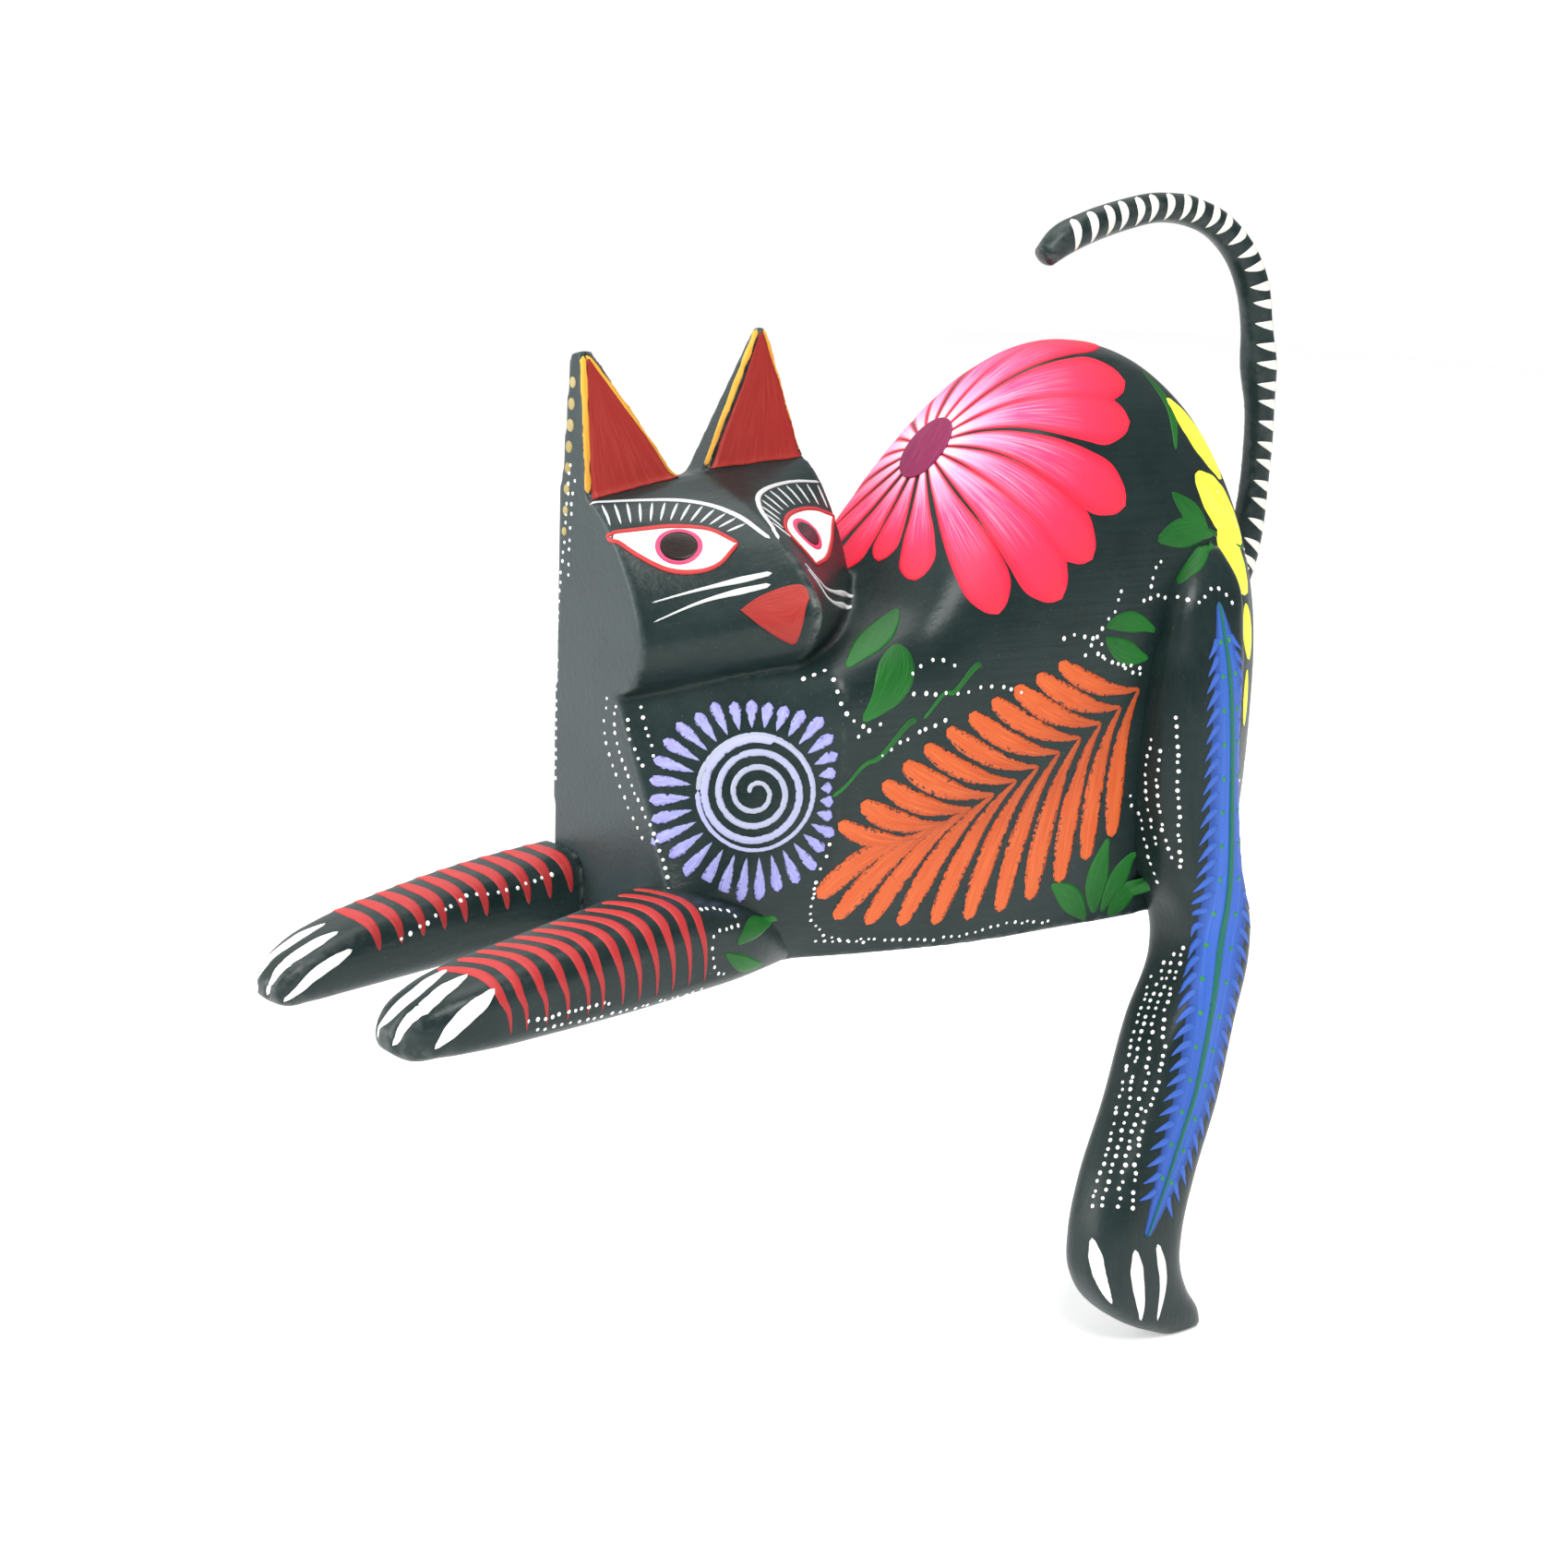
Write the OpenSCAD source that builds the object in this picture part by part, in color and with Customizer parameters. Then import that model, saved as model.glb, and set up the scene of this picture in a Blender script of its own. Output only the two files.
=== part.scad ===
// Carved and painted wooden cat that stretches along the edge of a shelf.
// The body and head are one block of soft wood. The legs are glued on with
// dowels, and the tail is a bent branch that turns on a peg in the rump.
// +X runs from the head to the rump, +Y to the cat's right side, +Z up.
// The origin lies on the flat belly, on the shelf surface.

/* [Body] */
// Position of the flat front face of the chest
front_x = -65; // [-67:0.5:-60]
// Height of the top of the hump above the shelf
hump_h = 114; // [106:1:120]
// Scale of the body's width
body_girth = 1; // [0.9:0.02:1.1]

/* [Head] */
// Height of the ears above the forehead
ear_h = 27; // [20:1:32]

/* [Legs] */
// Scale of the thickness of the forelegs
foreleg_girth = 1; // [0.85:0.05:1.1]
// Drop of the left hind paw below the shelf
hang = 82.5; // [70:0.5:92]

/* [Tail] */
// Radius of the tail branch at its middle
tail_r = 3.1; // [2.6:0.1:3.6]
// Height of the tail's bend above the shelf
tail_top = 140.5; // [125:0.5:150]

/* [Joinery] */
// Radius of the leg dowels
dowel_r = 2; // [1.5:0.25:2.5]
// Length of each half of a leg dowel
dowel_half = 8; // [6:0.5:9]
// Radius of the peg that carries the tail
peg_r = 2.5; // [2:0.25:3]
// Radial clearance of the tail peg in its sockets
peg_gap = 0.06; // [0.03:0.01:0.1]
// Depth of the tail peg in the rump
peg_in = 14; // [10:1:18]
// Depth of the tail peg in the tail
peg_out = 10; // [8:1:11]

/* [Hidden] */
slate = [0.13, 0.17, 0.17];
bare = [0.80, 0.66, 0.46];

// ---- helpers ---------------------------------------------------------
// Value of a signed power, used for rounded outlines
function sp(v, p) = sign(v) * pow(abs(v), p);

// Closed solid through rings that all have the same number of points
module loft(rings) {
    n = len(rings[0]);
    m = len(rings);
    polyhedron(
        points = [for (r = rings) for (p = r) p],
        faces = concat(
            [[for (i = [0:n - 1]) i]],
            [for (j = [0:m - 2]) for (i = [0:n - 1])
                [j * n + i, (j + 1) * n + (i + 1) % n, j * n + (i + 1) % n]],
            [for (j = [0:m - 2]) for (i = [0:n - 1])
                [j * n + i, (j + 1) * n + i, (j + 1) * n + (i + 1) % n]],
            [[for (i = [n - 1:-1:0]) (m - 1) * n + i]]),
        convexity = 6);
}

// Table lookup with straight interpolation, column c against column 0
function tab(t, x, c) =
    let (k = [for (i = [0:len(t) - 2]) if (x >= t[i][0]) i],
         i = len(k) == 0 ? 0 : k[len(k) - 1],
         f = min(1, max(0, (x - t[i][0]) / (t[i + 1][0] - t[i][0]))))
    t[i][c] * (1 - f) + t[i + 1][c] * f;

// ---- body ------------------------------------------------------------
// Stations of the body: x, top height, left and right widest points, left
// and right edges of the flat belly, height of the widest point, and the
// roundness of the upper outline
body_t = [
    [-36, 58, -28, 25.7, -16, 23, 44, 5.5],
    [-25, 62, -28, 26, -19.5, 23, 45, 4.5],
    [-15, 68, -28, 26.5, -22, 23.3, 46, 3.4],
    [-6, 79.5, -28.3, 27, -24, 23.5, 47, 2.8],
    [4, 94, -28.7, 27.5, -25.2, 24, 48, 2.5],
    [16, 106, -29, 28, -25.8, 24, 49, 2.4],
    [30, 113, -29, 28, -26, 24, 49, 2.4],
    [43, 113.6, -28.8, 27.8, -26, 23.5, 49, 2.4],
    [55, 108.4, -28, 27, -25, 22.5, 48, 2.5],
    [65, 99.6, -26.5, 25, -23.5, 20.5, 46, 2.5],
    [73, 87.4, -24, 22, -20, 17.5, 44, 2.5],
    [79, 74, -19.5, 17.5, -15.5, 13, 41, 2.5],
    [83, 59, -12.5, 11, -9, 7, 36, 2.4],
    [84.5, 48, -6, 5, -4, 3, 30, 2.2]];

// Outline of the body across x, 23 points, flat underneath
function body_ring(x) =
    let (zt = tab(body_t, x, 1) * (x > 0 ? hump_h / 114 : 1), yl = tab(body_t, x, 2) * body_girth,
         yr = tab(body_t, x, 3) * body_girth, bl = tab(body_t, x, 4),
         br = tab(body_t, x, 5), zm = tab(body_t, x, 6), q = 2 / tab(body_t, x, 7),
         c = (yl + yr) / 2)
    concat(
        [for (a = [0:15:180]) [x, c + (a < 90 ? yr - c : c - yl) * sp(cos(a), q),
                               zm + (zt - zm) * sp(sin(a), q)]],
        [for (k = [1:4]) let (f = k / 5) [x, yl + (bl - yl) * pow(f, 2.6), zm * (1 - f)]],
        [[x, bl, 0], [x, br, 0]],
        [for (k = [4:-1:1]) let (f = k / 5) [x, yr + (br - yr) * pow(f, 2.6), zm * (1 - f)]]);

// Left outline of the chest's front face, from under the head to the shelf.
// The slanted facet on the left of the chest runs from here back to x = -36
// Flat under the head, one straight cut from chin to knee, then upright
function cut(a, b, n) = [for (k = [0:n - 1]) a + (b - a) * k / n];
chest_left = concat(cut([10, 53], [5, 51], 2), cut([5, 51], [-16, 15], 6),
                    cut([-16, 15], [-16, 0], 2), [[-16, 0]]);
function front_ring(x) = concat(
    [for (a = [0:15:90]) [x, 14 + 11.6 * sp(cos(a), 0.4), 40 + 13.5 * sp(sin(a), 0.4)]],
    [for (p = chest_left) [x, p[0], p[1]]], [[x, 22, 0]],
    [for (k = [4:-1:1]) let (f = k / 5) [x, 25.6 - 3.6 * pow(f, 2.6), 40 * (1 - f)]]);
function chest_ring(x) =
    let (f = max(0, (x + 64.9) / 28.9), a = front_ring(x), b = body_ring(-36))
    [for (i = [0:len(a) - 1]) [x, a[i][1] * (1 - f) + b[i][1] * f, a[i][2] * (1 - f) + b[i][2] * f]];

module body_block() {
    loft(concat([for (x = [-68, -64.9, -58, -50, -43]) chest_ring(x)],
        [for (x = [-36, -30, -25, -20, -15, -10, -6, -1, 4, 10, 16, 23, 30, 37, 43, 49, 55, 60,
                   65, 69, 73, 76, 79, 81, 83, 84.5]) body_ring(x)]));
}

// ---- head ------------------------------------------------------------
// Outline of the head, as y and z: a flat far side, a rounded brow down to the
// muzzle, a rounded chin and the neck. Each station holds the far side's foot
// and top, the brow's height, the muzzle's y and z, the chin's y and z, the
// neck's y
head_side = 25.2;
function head_ring(h) = concat([[head_side, h[0]], [head_side, h[1]]],
    [for (a = [0:30:90]) [15 + (h[3] - 15) * sp(sin(a), 1.4), h[4] + (h[2] - h[4]) * sp(cos(a), 1.4)]],
    [for (a = [120:30:180]) [h[5] + (h[3] - h[5]) * sp(sin(a), 1), h[4] + (h[4] - h[6]) * sp(cos(a), 1)]],
    [[h[7], h[0]]]);
head_a = head_ring([35, 87, 85, -4, 60, 4, 50, 8]);
head_m = head_ring([36, 87, 89, -25, 68, 0, 53, 5]);
head_b = head_ring([38, 91, 91, -2, 63, 4, 52, 8]);

module head_block() {
    loft([[for (p = head_a) [-67, p[0], p[1]]],
          [for (p = head_a) [-64.7, p[0], p[1]]],
          [for (p = head_m) [-40, p[0], p[1]]],
          [for (p = head_b) [-14.5, p[0], p[1]]]]);
}

// Flat triangular ear that stands on the back of the forehead: its foot at
// the front and at the back, and its tip, each from x to x
module ear(f, b, t, zf, zt, back) {
    polyhedron(
        points = [[f[0], 15, zf[0]], [f[1], 15.3, zf[1]], [b[1], 25, zf[1] - 3.5], [b[0], 25, zf[0] - 3.5],
                  [t[0], 17.8, zt], [t[1], 17.8, zt], [t[1], back, zt - 0.6], [t[0], back, zt - 0.6]],
        faces = [[0, 1, 2], [0, 2, 3], [7, 6, 5, 4], [5, 1, 0], [4, 5, 0], [6, 2, 1], [5, 6, 1],
                 [7, 3, 2], [6, 7, 2], [4, 0, 3], [7, 4, 3]]);
}

module body_and_head() {
    color(slate) difference() {
        union() {
            body_block();
            head_block();
            ear([-66.5, -43], [-66.5, -43.5], [-66.5, -62.5], [83, 86], 85 + ear_h, 22);
            ear([-39.5, -14.8], [-38.5, -14.8], [-25.6, -23.2], [87.5, 90], 89.3 + ear_h, 19);
        }
        // Flat front of the chest, the head and the front ear
        translate([front_x - 20, -60, -10]) cube([20, 120, 140]);
        // Flat seats of the two thighs, and the seat of the tail
        thigh_seat(left_hind_t, -1);
        thigh_seat(right_thigh_t, 1);
        translate([28.2, 22, -5]) cube([8, 10, 19]);
        tail_bore(tail_w[0] + 0.6, 0, 12);
        left_foreleg_bore();
        right_foreleg_bore();
        left_hind_bore();
        right_hind_bore();
        tail_bore(peg_r + peg_gap, peg_in + 1, 0);
    }
}

// ---- legs ------------------------------------------------------------
// Ring of a leg across its length: half sizes a and b, squareness s
function oval(a, b, s, n) = [for (i = [0:n - 1]) let (t = 360 * (i + 0.5) / n)
    [a * sp(cos(t), 2 / s), b * sp(sin(t), 2 / s)]];

// Forelegs: x, middle y, half width, underside, top
left_fore_t = [
    [-129.5, -26.2, 3, 1.6, 5],
    [-127.5, -26.6, 5.4, 0.2, 7.4],
    [-122, -27, 7.8, 0, 10.8],
    [-114, -26.8, 9.1, 0, 13.2],
    [-100, -25, 9.8, 0, 15.2],
    [-84, -22.2, 10.4, 0, 17],
    [-68, -18.6, 10.9, 0, 18.2],
    [-56, -16, 10, 0, 15],
    [-46, -13.8, 7.6, 0, 11],
    [-38, -12.4, 4.4, 0, 6.5]];
right_fore_t = [
    [-134.5, 8.6, 3, 1.6, 4.6],
    [-132, 8.9, 5.2, 0.2, 7.2],
    [-127, 10.2, 7, 0, 9.8],
    [-119, 12.2, 7.8, 0, 12],
    [-104, 16, 8.7, 0, 14],
    [-84, 20.6, 9.2, 0, 15.8],
    [-62, 22.4, 8.6, 0, 17.8]];

module foreleg(t) {
    loft([for (s = t) [for (p = oval(s[2] * foreleg_girth, (s[4] - s[3]) / 2, 3.4, 20))
        [s[0], s[1] + p[0], (s[3] + s[4]) / 2 + p[1]]]]);
}

module left_foreleg() {
    color(slate) difference() {
        foreleg(left_fore_t);
        body_block();
        left_foreleg_bore();
    }
}

module right_foreleg() {
    color(slate) difference() {
        foreleg(right_fore_t);
        translate([front_x, -60, -20]) cube([40, 120, 80]);
        right_foreleg_bore();
    }
}

// Left hind leg: height, front x, rear x, inner y, outer y
left_hind_t = [
    [75, 52, 59, -20, -28],
    [69, 46, 61.5, -20, -32.5],
    [57, 41, 62, -20, -36],
    [40, 38.5, 60.5, -20, -38.5],
    [24, 38.5, 60.5, -20, -40],
    [10, 41, 61.5, -20, -41.5],
    [-1, 46, 63.5, -23, -42.5],
    [-8, 44.6, 62.5, -25, -43.5],
    [-20, 36.5, 58.5, -27.5, -45],
    [-36, 28, 52.5, -31, -47.5],
    [-50, 19.8, 45, -34, -50],
    [-60, 16.6, 41, -35.5, -51.5],
    [-68, 17, 40.5, -36, -52],
    [-75, 21.5, 43.5, -37, -51.5],
    [-80, 28.5, 47, -39, -50.8],
    [-83.5, 36.5, 48, -41, -49.6]];

// Pocket in the flank that takes a thigh, side -1 left and 1 right
module thigh_seat(t, side) {
    u = [for (s = t) if (s[0] > -1) s];
    translate([0, side * 22, 0]) rotate([90, 0, 0]) mirror([0, 0, side > 0 ? 1 : 0])
        linear_extrude(height = 30) polygon(concat(
            [for (s = u) [s[1] - 0.3, s[0] + (s[0] == t[0][0] ? 0.4 : 0)]],
            [[u[len(u) - 1][1] - 0.3, -5], [u[len(u) - 1][2] + 0.3, -5]],
            [for (i = [len(u) - 1:-1:0]) [u[i][2] + 0.3, u[i][0] + (i == 0 ? 0.4 : 0)]]));
}

module left_hind_leg() {
    k = hang / 83.5;
    color(slate) difference() {
        loft([for (s = left_hind_t) [for (p = oval((s[2] - s[1]) / 2, (s[3] - s[4]) / 2, 3, 20))
            [(s[1] + s[2]) / 2 + p[0], (s[3] + s[4]) / 2 - p[1], s[0] < 0 ? s[0] * k : s[0]]]]);
        translate([0, -22, -60]) cube([100, 40, 160]);
        left_hind_bore();
    }
}

// Right hind leg, folded under the body on the shelf
right_thigh_t = [
    [66, 44, 58, 20, 28],
    [58, 37, 64, 20, 32.5],
    [44, 31, 67, 20, 36],
    [28, 28.5, 68, 20, 37.5],
    [14, 29, 66, 20, 37.5],
    [5, 32, 63, 20, 36.5],
    [0.3, 35, 61, 20, 35.5]];
right_foot_t = [
    [2, 30.5, 3.4, 1.2, 5],
    [4.5, 30.5, 5.6, 0.2, 7.6],
    [11, 30.5, 7.2, 0, 10.4],
    [22, 30.5, 7.8, 0, 12],
    [38, 30.5, 8, 0, 13],
    [50, 30.5, 7.6, 0, 12]];

module right_hind_leg() {
    color(slate) difference() {
        union() {
            loft([for (s = right_thigh_t) [for (p = oval((s[2] - s[1]) / 2, (s[4] - s[3]) / 2, 3, 20))
                [(s[1] + s[2]) / 2 + p[0], (s[3] + s[4]) / 2 - p[1], s[0]]]]);
            foreleg(right_foot_t);
        }
        translate([20, -18, -10]) cube([80, 40, 100]);
        foot_clear();
        right_hind_bore();
    }
}

// Part of the foot that lies forward of the thigh, trimmed to the belly
module foot_clear() { translate([-10, -15, -10]) cube([38.5, 41.8, 40]); }

// ---- tail ------------------------------------------------------------
// Hand-set points of the tail's centre line, from the root to the tip
tail_p = [
    [82, 0, 53], [86.2, 0, 57.2], [90.4, 0, 61.6], [93.2, 0, 67], [95, 0, 74], [96, 0, 82], [96.4, 0, 90],
    [96, 0, 99], [94.6, 0, 108], [93.2, 0, 116.5], [91, 0, 124.4], [86.3, 0, 131.8], [79, 0, 137.2],
    [71, 0, 139.8], [63, 0, 140.5], [53, 0, 139.1], [42.6, 0, 136.3], [35, 0, 133.2], [31.6, 0, 130.6]];
tail_w = [4.4, 4.4, 4.2, 3.8, 3.4, 3.1, 3.1, 3.2, 3.8, 3.4, 3.5, 3.4, 3.2, 3, 3, 3.1, 3.2, 3.1, 2.4];

// Direction of the centre line at point i
function dirn(i) =
    let (d = tail_p[min(i + 1, len(tail_p) - 1)] - tail_p[max(i - 1, 0)]) d / norm(d);

module tail_branch() {
    k = tail_r / 3.1;
    kz = (tail_top - 61.6) / (140.5 - 61.6);
    loft([for (i = [0:len(tail_p) - 1]) let (d = dirn(i), p = tail_p[i],
            z = p[2] < 61.6 ? p[2] : 61.6 + (p[2] - 61.6) * kz, w = tail_w[i] * (i < 4 ? 1 : k))
        [for (j = [0:15]) let (a = 360 * (j + 0.5) / 16)
            [p[0] - w * cos(a) * d[2], p[1] - w * sin(a), z + w * cos(a) * d[0]]]]);
}

// The peg's axis leaves the rump backwards and upwards
peg_dir = 45;
peg_at = [82, 0, 53];
module tail_bore(r, back, out) {
    translate(peg_at) rotate([0, 90 - peg_dir, 0]) translate([0, 0, -back])
        cylinder(r = r, h = back + out, $fn = 48);
}

module tail() {
    color(slate) difference() {
        tail_branch();
        tail_bore(peg_r + peg_gap, 2, peg_out + 1);
    }
}

module tail_peg() {
    color(bare) tail_bore(peg_r, peg_in, peg_out);
}

// ---- leg dowels ------------------------------------------------------
module rod(at, dir, back, out, r) {
    translate(at) rotate(dir) translate([0, 0, -back]) cylinder(r = r, h = back + out, $fn = 32);
}
module left_foreleg_rod(e) { rod([-58, -17, 7.5], [90, 0, 0], dowel_half + e, dowel_half - 2.5 + e, dowel_r); }
module right_foreleg_rod(e) { rod([front_x, 19, 9], [0, -90, 0], dowel_half + e, dowel_half + e, dowel_r); }
module left_hind_rod(e) { rod([50, -22, 42], [90, 0, 0], dowel_half + e, dowel_half + e, dowel_r); }
module right_hind_rod(e) { rod([50, 22, 36], [-90, 0, 0], dowel_half + e, dowel_half + e, dowel_r); }
module left_foreleg_bore() { left_foreleg_rod(0.5); }
module right_foreleg_bore() { right_foreleg_rod(0.5); }
module left_hind_bore() { left_hind_rod(0.5); }
module right_hind_bore() { right_hind_rod(0.5); }
module left_foreleg_dowel() { color(bare) left_foreleg_rod(0); }
module right_foreleg_dowel() { color(bare) right_foreleg_rod(0); }
module left_hind_dowel() { color(bare) left_hind_rod(0); }
module right_hind_dowel() { color(bare) right_hind_rod(0); }

body_and_head();
left_foreleg();
right_foreleg();
left_hind_leg();
right_hind_leg();
tail();
tail_peg();
left_foreleg_dowel();
right_foreleg_dowel();
left_hind_dowel();
right_hind_dowel();
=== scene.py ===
import math
import bpy
import bmesh
import numpy as np
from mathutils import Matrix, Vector
from mathutils.bvhtree import BVHTree
from mathutils.kdtree import KDTree


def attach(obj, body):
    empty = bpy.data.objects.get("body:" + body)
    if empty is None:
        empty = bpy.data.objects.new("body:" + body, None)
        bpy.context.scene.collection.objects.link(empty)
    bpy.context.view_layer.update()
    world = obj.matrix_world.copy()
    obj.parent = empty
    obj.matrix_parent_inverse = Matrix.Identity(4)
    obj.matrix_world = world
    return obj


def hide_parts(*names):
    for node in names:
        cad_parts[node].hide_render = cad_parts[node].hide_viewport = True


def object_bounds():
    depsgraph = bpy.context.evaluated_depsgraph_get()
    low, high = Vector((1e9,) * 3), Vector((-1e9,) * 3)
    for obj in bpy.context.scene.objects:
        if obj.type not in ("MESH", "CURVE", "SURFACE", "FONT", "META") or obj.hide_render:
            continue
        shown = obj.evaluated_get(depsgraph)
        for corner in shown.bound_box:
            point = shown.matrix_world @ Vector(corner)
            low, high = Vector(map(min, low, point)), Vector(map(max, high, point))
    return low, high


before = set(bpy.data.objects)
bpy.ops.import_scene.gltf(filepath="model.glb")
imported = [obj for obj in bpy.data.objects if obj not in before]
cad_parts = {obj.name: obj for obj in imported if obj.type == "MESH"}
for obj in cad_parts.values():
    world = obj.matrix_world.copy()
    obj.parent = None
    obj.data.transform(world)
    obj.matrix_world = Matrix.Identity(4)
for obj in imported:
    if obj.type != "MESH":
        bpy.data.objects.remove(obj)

CAD_BOX = [list(v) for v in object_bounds()]
MM = 0.001
rng = np.random.default_rng(7)

# ----------------------------------------------------------------- camera
# The camera looks at the left side from in front, a little from above.
CAM_POS = np.array([-328.79, -398.37, 147.6])
CAM_FWD = np.array([0.58608, 0.77703, -0.22966])
CAM_RIGHT = np.array([0.80282, -0.59519, 0.03502])
CAM_UP = np.array([0.10948, 0.20490, 0.97264])
cam_data = bpy.data.cameras.new("camera")
cam_data.sensor_width = 36.0
cam_data.lens = 2871.0 / 1699.0 * 36.0
cam_data.clip_start = 0.01
cam = bpy.data.objects.new("camera", cam_data)
bpy.context.scene.collection.objects.link(cam)
from mathutils import Matrix
cam.matrix_world = Matrix((
    (CAM_RIGHT[0], CAM_UP[0], -CAM_FWD[0], CAM_POS[0] * MM),
    (CAM_RIGHT[1], CAM_UP[1], -CAM_FWD[1], CAM_POS[1] * MM),
    (CAM_RIGHT[2], CAM_UP[2], -CAM_FWD[2], CAM_POS[2] * MM),
    (0, 0, 0, 1)))
bpy.context.scene.camera = cam
bpy.context.scene.view_settings.view_transform = "Standard"

# ------------------------------------------------------- mesh helpers (mm)
def new_object(name, verts, faces, smooth=True):
    me = bpy.data.meshes.new(name)
    me.from_pydata([tuple(v) for v in np.asarray(verts, float) * MM], [], [tuple(f) for f in faces])
    me.validate()
    me.update()
    ob = bpy.data.objects.new(name, me)
    bpy.context.scene.collection.objects.link(ob)
    if smooth:
        me.polygons.foreach_set("use_smooth", np.ones(len(me.polygons), bool))
    return ob


def fix_normals(ob):
    bm = bmesh.new()
    bm.from_mesh(ob.data)
    bmesh.ops.recalc_face_normals(bm, faces=bm.faces)
    bm.to_mesh(ob.data)
    bm.free()
    ob.data.update()


def loft(rings):
    """Closed surface through rings with the same number of points: (verts, faces)."""
    r = np.asarray(rings, float)
    m, n = r.shape[:2]
    verts = r.reshape(-1, 3)
    i = np.arange(n)
    faces = []
    for j in range(m - 1):
        a, b = j * n + i, j * n + (i + 1) % n
        c, d = (j + 1) * n + (i + 1) % n, (j + 1) * n + i
        faces += np.stack([a, b, c, d], 1).tolist()
    faces.append(list(range(n))[::-1])
    faces.append([(m - 1) * n + k for k in range(n)])
    return verts, faces


def table(t, x):
    """Smooth lookup of every column of t against its first, which runs upwards."""
    t = np.asarray(t, float)
    xs, y = t[:, 0], t[:, 1:]
    h = np.diff(xs)
    s = np.diff(y, axis=0) / h[:, None]
    m = np.empty_like(y)
    m[0], m[-1] = s[0], s[-1]
    m[1:-1] = (s[:-1] * h[1:, None] + s[1:] * h[:-1, None]) / (h[1:] + h[:-1])[:, None]
    k = int(np.clip(np.searchsorted(xs, x) - 1, 0, len(xs) - 2))
    f = min(1.0, max(0.0, (x - xs[k]) / h[k]))
    h00, h10 = 2 * f**3 - 3 * f**2 + 1, f**3 - 2 * f**2 + f
    h01, h11 = -2 * f**3 + 3 * f**2, f**3 - f**2
    return h00 * y[k] + h10 * h[k] * m[k] + h01 * y[k + 1] + h11 * h[k] * m[k + 1]


def sp(v, p):
    return np.sign(v) * np.abs(v) ** p


def applied(ob):
    """Applies every modifier of ob to its mesh."""
    dg = bpy.context.evaluated_depsgraph_get()
    me = bpy.data.meshes.new_from_object(ob.evaluated_get(dg), depsgraph=dg)
    old = ob.data
    ob.modifiers.clear()
    ob.data = me
    bpy.data.meshes.remove(old)
    return ob


def join(name, parts):
    """One object from several (verts, faces) sets in mm."""
    vs, fs, k = [], [], 0
    for v, f in parts:
        vs.append(np.asarray(v, float))
        fs += [[i + k for i in q] for q in f]
        k += len(v)
    ob = new_object(name, np.concatenate(vs), fs)
    fix_normals(ob)
    return ob


def remesh(ob, voxel, smooth=4, factor=0.5):
    m = ob.modifiers.new("voxel", "REMESH")
    m.mode = "VOXEL"
    m.voxel_size = voxel * MM
    m.use_smooth_shade = True
    if smooth:
        s = ob.modifiers.new("smooth", "SMOOTH")
        s.factor = factor
        s.iterations = smooth
    return applied(ob)


def coords(ob):
    co = np.empty(len(ob.data.vertices) * 3)
    ob.data.vertices.foreach_get("co", co)
    return co.reshape(-1, 3) / MM


def set_coords(ob, co):
    ob.data.vertices.foreach_set("co", (co * MM).ravel())
    ob.data.update()


def normals(ob):
    n = np.empty(len(ob.data.vertices) * 3)
    ob.data.vertices.foreach_get("normal", n)
    return n.reshape(-1, 3)


# --------------------------------------------------------------- body form
FRONT_X = -65.0
BODY_T = [
    [-36, 58, -28, 25.7, -16, 23, 44, 5.5], [-25, 62, -28, 26, -19.5, 23, 45, 4.5],
    [-15, 68, -28, 26.5, -22, 23.3, 46, 3.4], [-6, 79.5, -28.3, 27, -24, 23.5, 47, 2.8],
    [4, 94, -28.7, 27.5, -25.2, 24, 48, 2.5], [16, 106, -29, 28, -25.8, 24, 49, 2.4],
    [30, 113, -29, 28, -26, 24, 49, 2.4], [43, 113.6, -28.8, 27.8, -26, 23.5, 49, 2.4],
    [55, 108.4, -28, 27, -25, 22.5, 48, 2.5], [65, 99.6, -26.5, 25, -23.5, 20.5, 46, 2.5],
    [73, 87.4, -24, 22, -20, 17.5, 44, 2.5], [79, 74, -19.5, 17.5, -15.5, 13, 41, 2.5],
    [83, 59, -12.5, 11, -9, 7, 36, 2.4], [84.5, 48, -6, 5, -4, 3, 30, 2.2]]


def cut(a, b, n):
    return [[a[0] + (b[0] - a[0]) * k / n, a[1] + (b[1] - a[1]) * k / n] for k in range(n)]


CHEST_LEFT = np.array([[14, 53.5]] + cut([10, 53], [5, 51], 2) + cut([5, 51], [-16, 15], 6) + cut([-16, 15], [-16, 0], 2) + [[-16, 0]])
UP = np.radians(np.arange(0, 180.1, 3.0))
LOW = np.linspace(0, 1, 17)[1:]


def body_ring(x):
    zt, yl, yr, bl, br, zm, q = table(BODY_T, x)
    q = 2 / q
    c = (yl + yr) / 2
    co, si = np.cos(UP), np.sin(UP)
    y = c + np.where(UP < math.pi / 2, yr - c, c - yl) * sp(co, q)
    z = zm + (zt - zm) * sp(si, q)
    left = [[yl + (bl - yl) * f ** 2.6, zm * (1 - f)] for f in LOW]
    right = [[yr + (br - yr) * f ** 2.6, zm * (1 - f)] for f in LOW[::-1]]
    p = np.concatenate([np.stack([y, z], 1), left, right])
    return np.column_stack([np.full(len(p), x), p])


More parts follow.
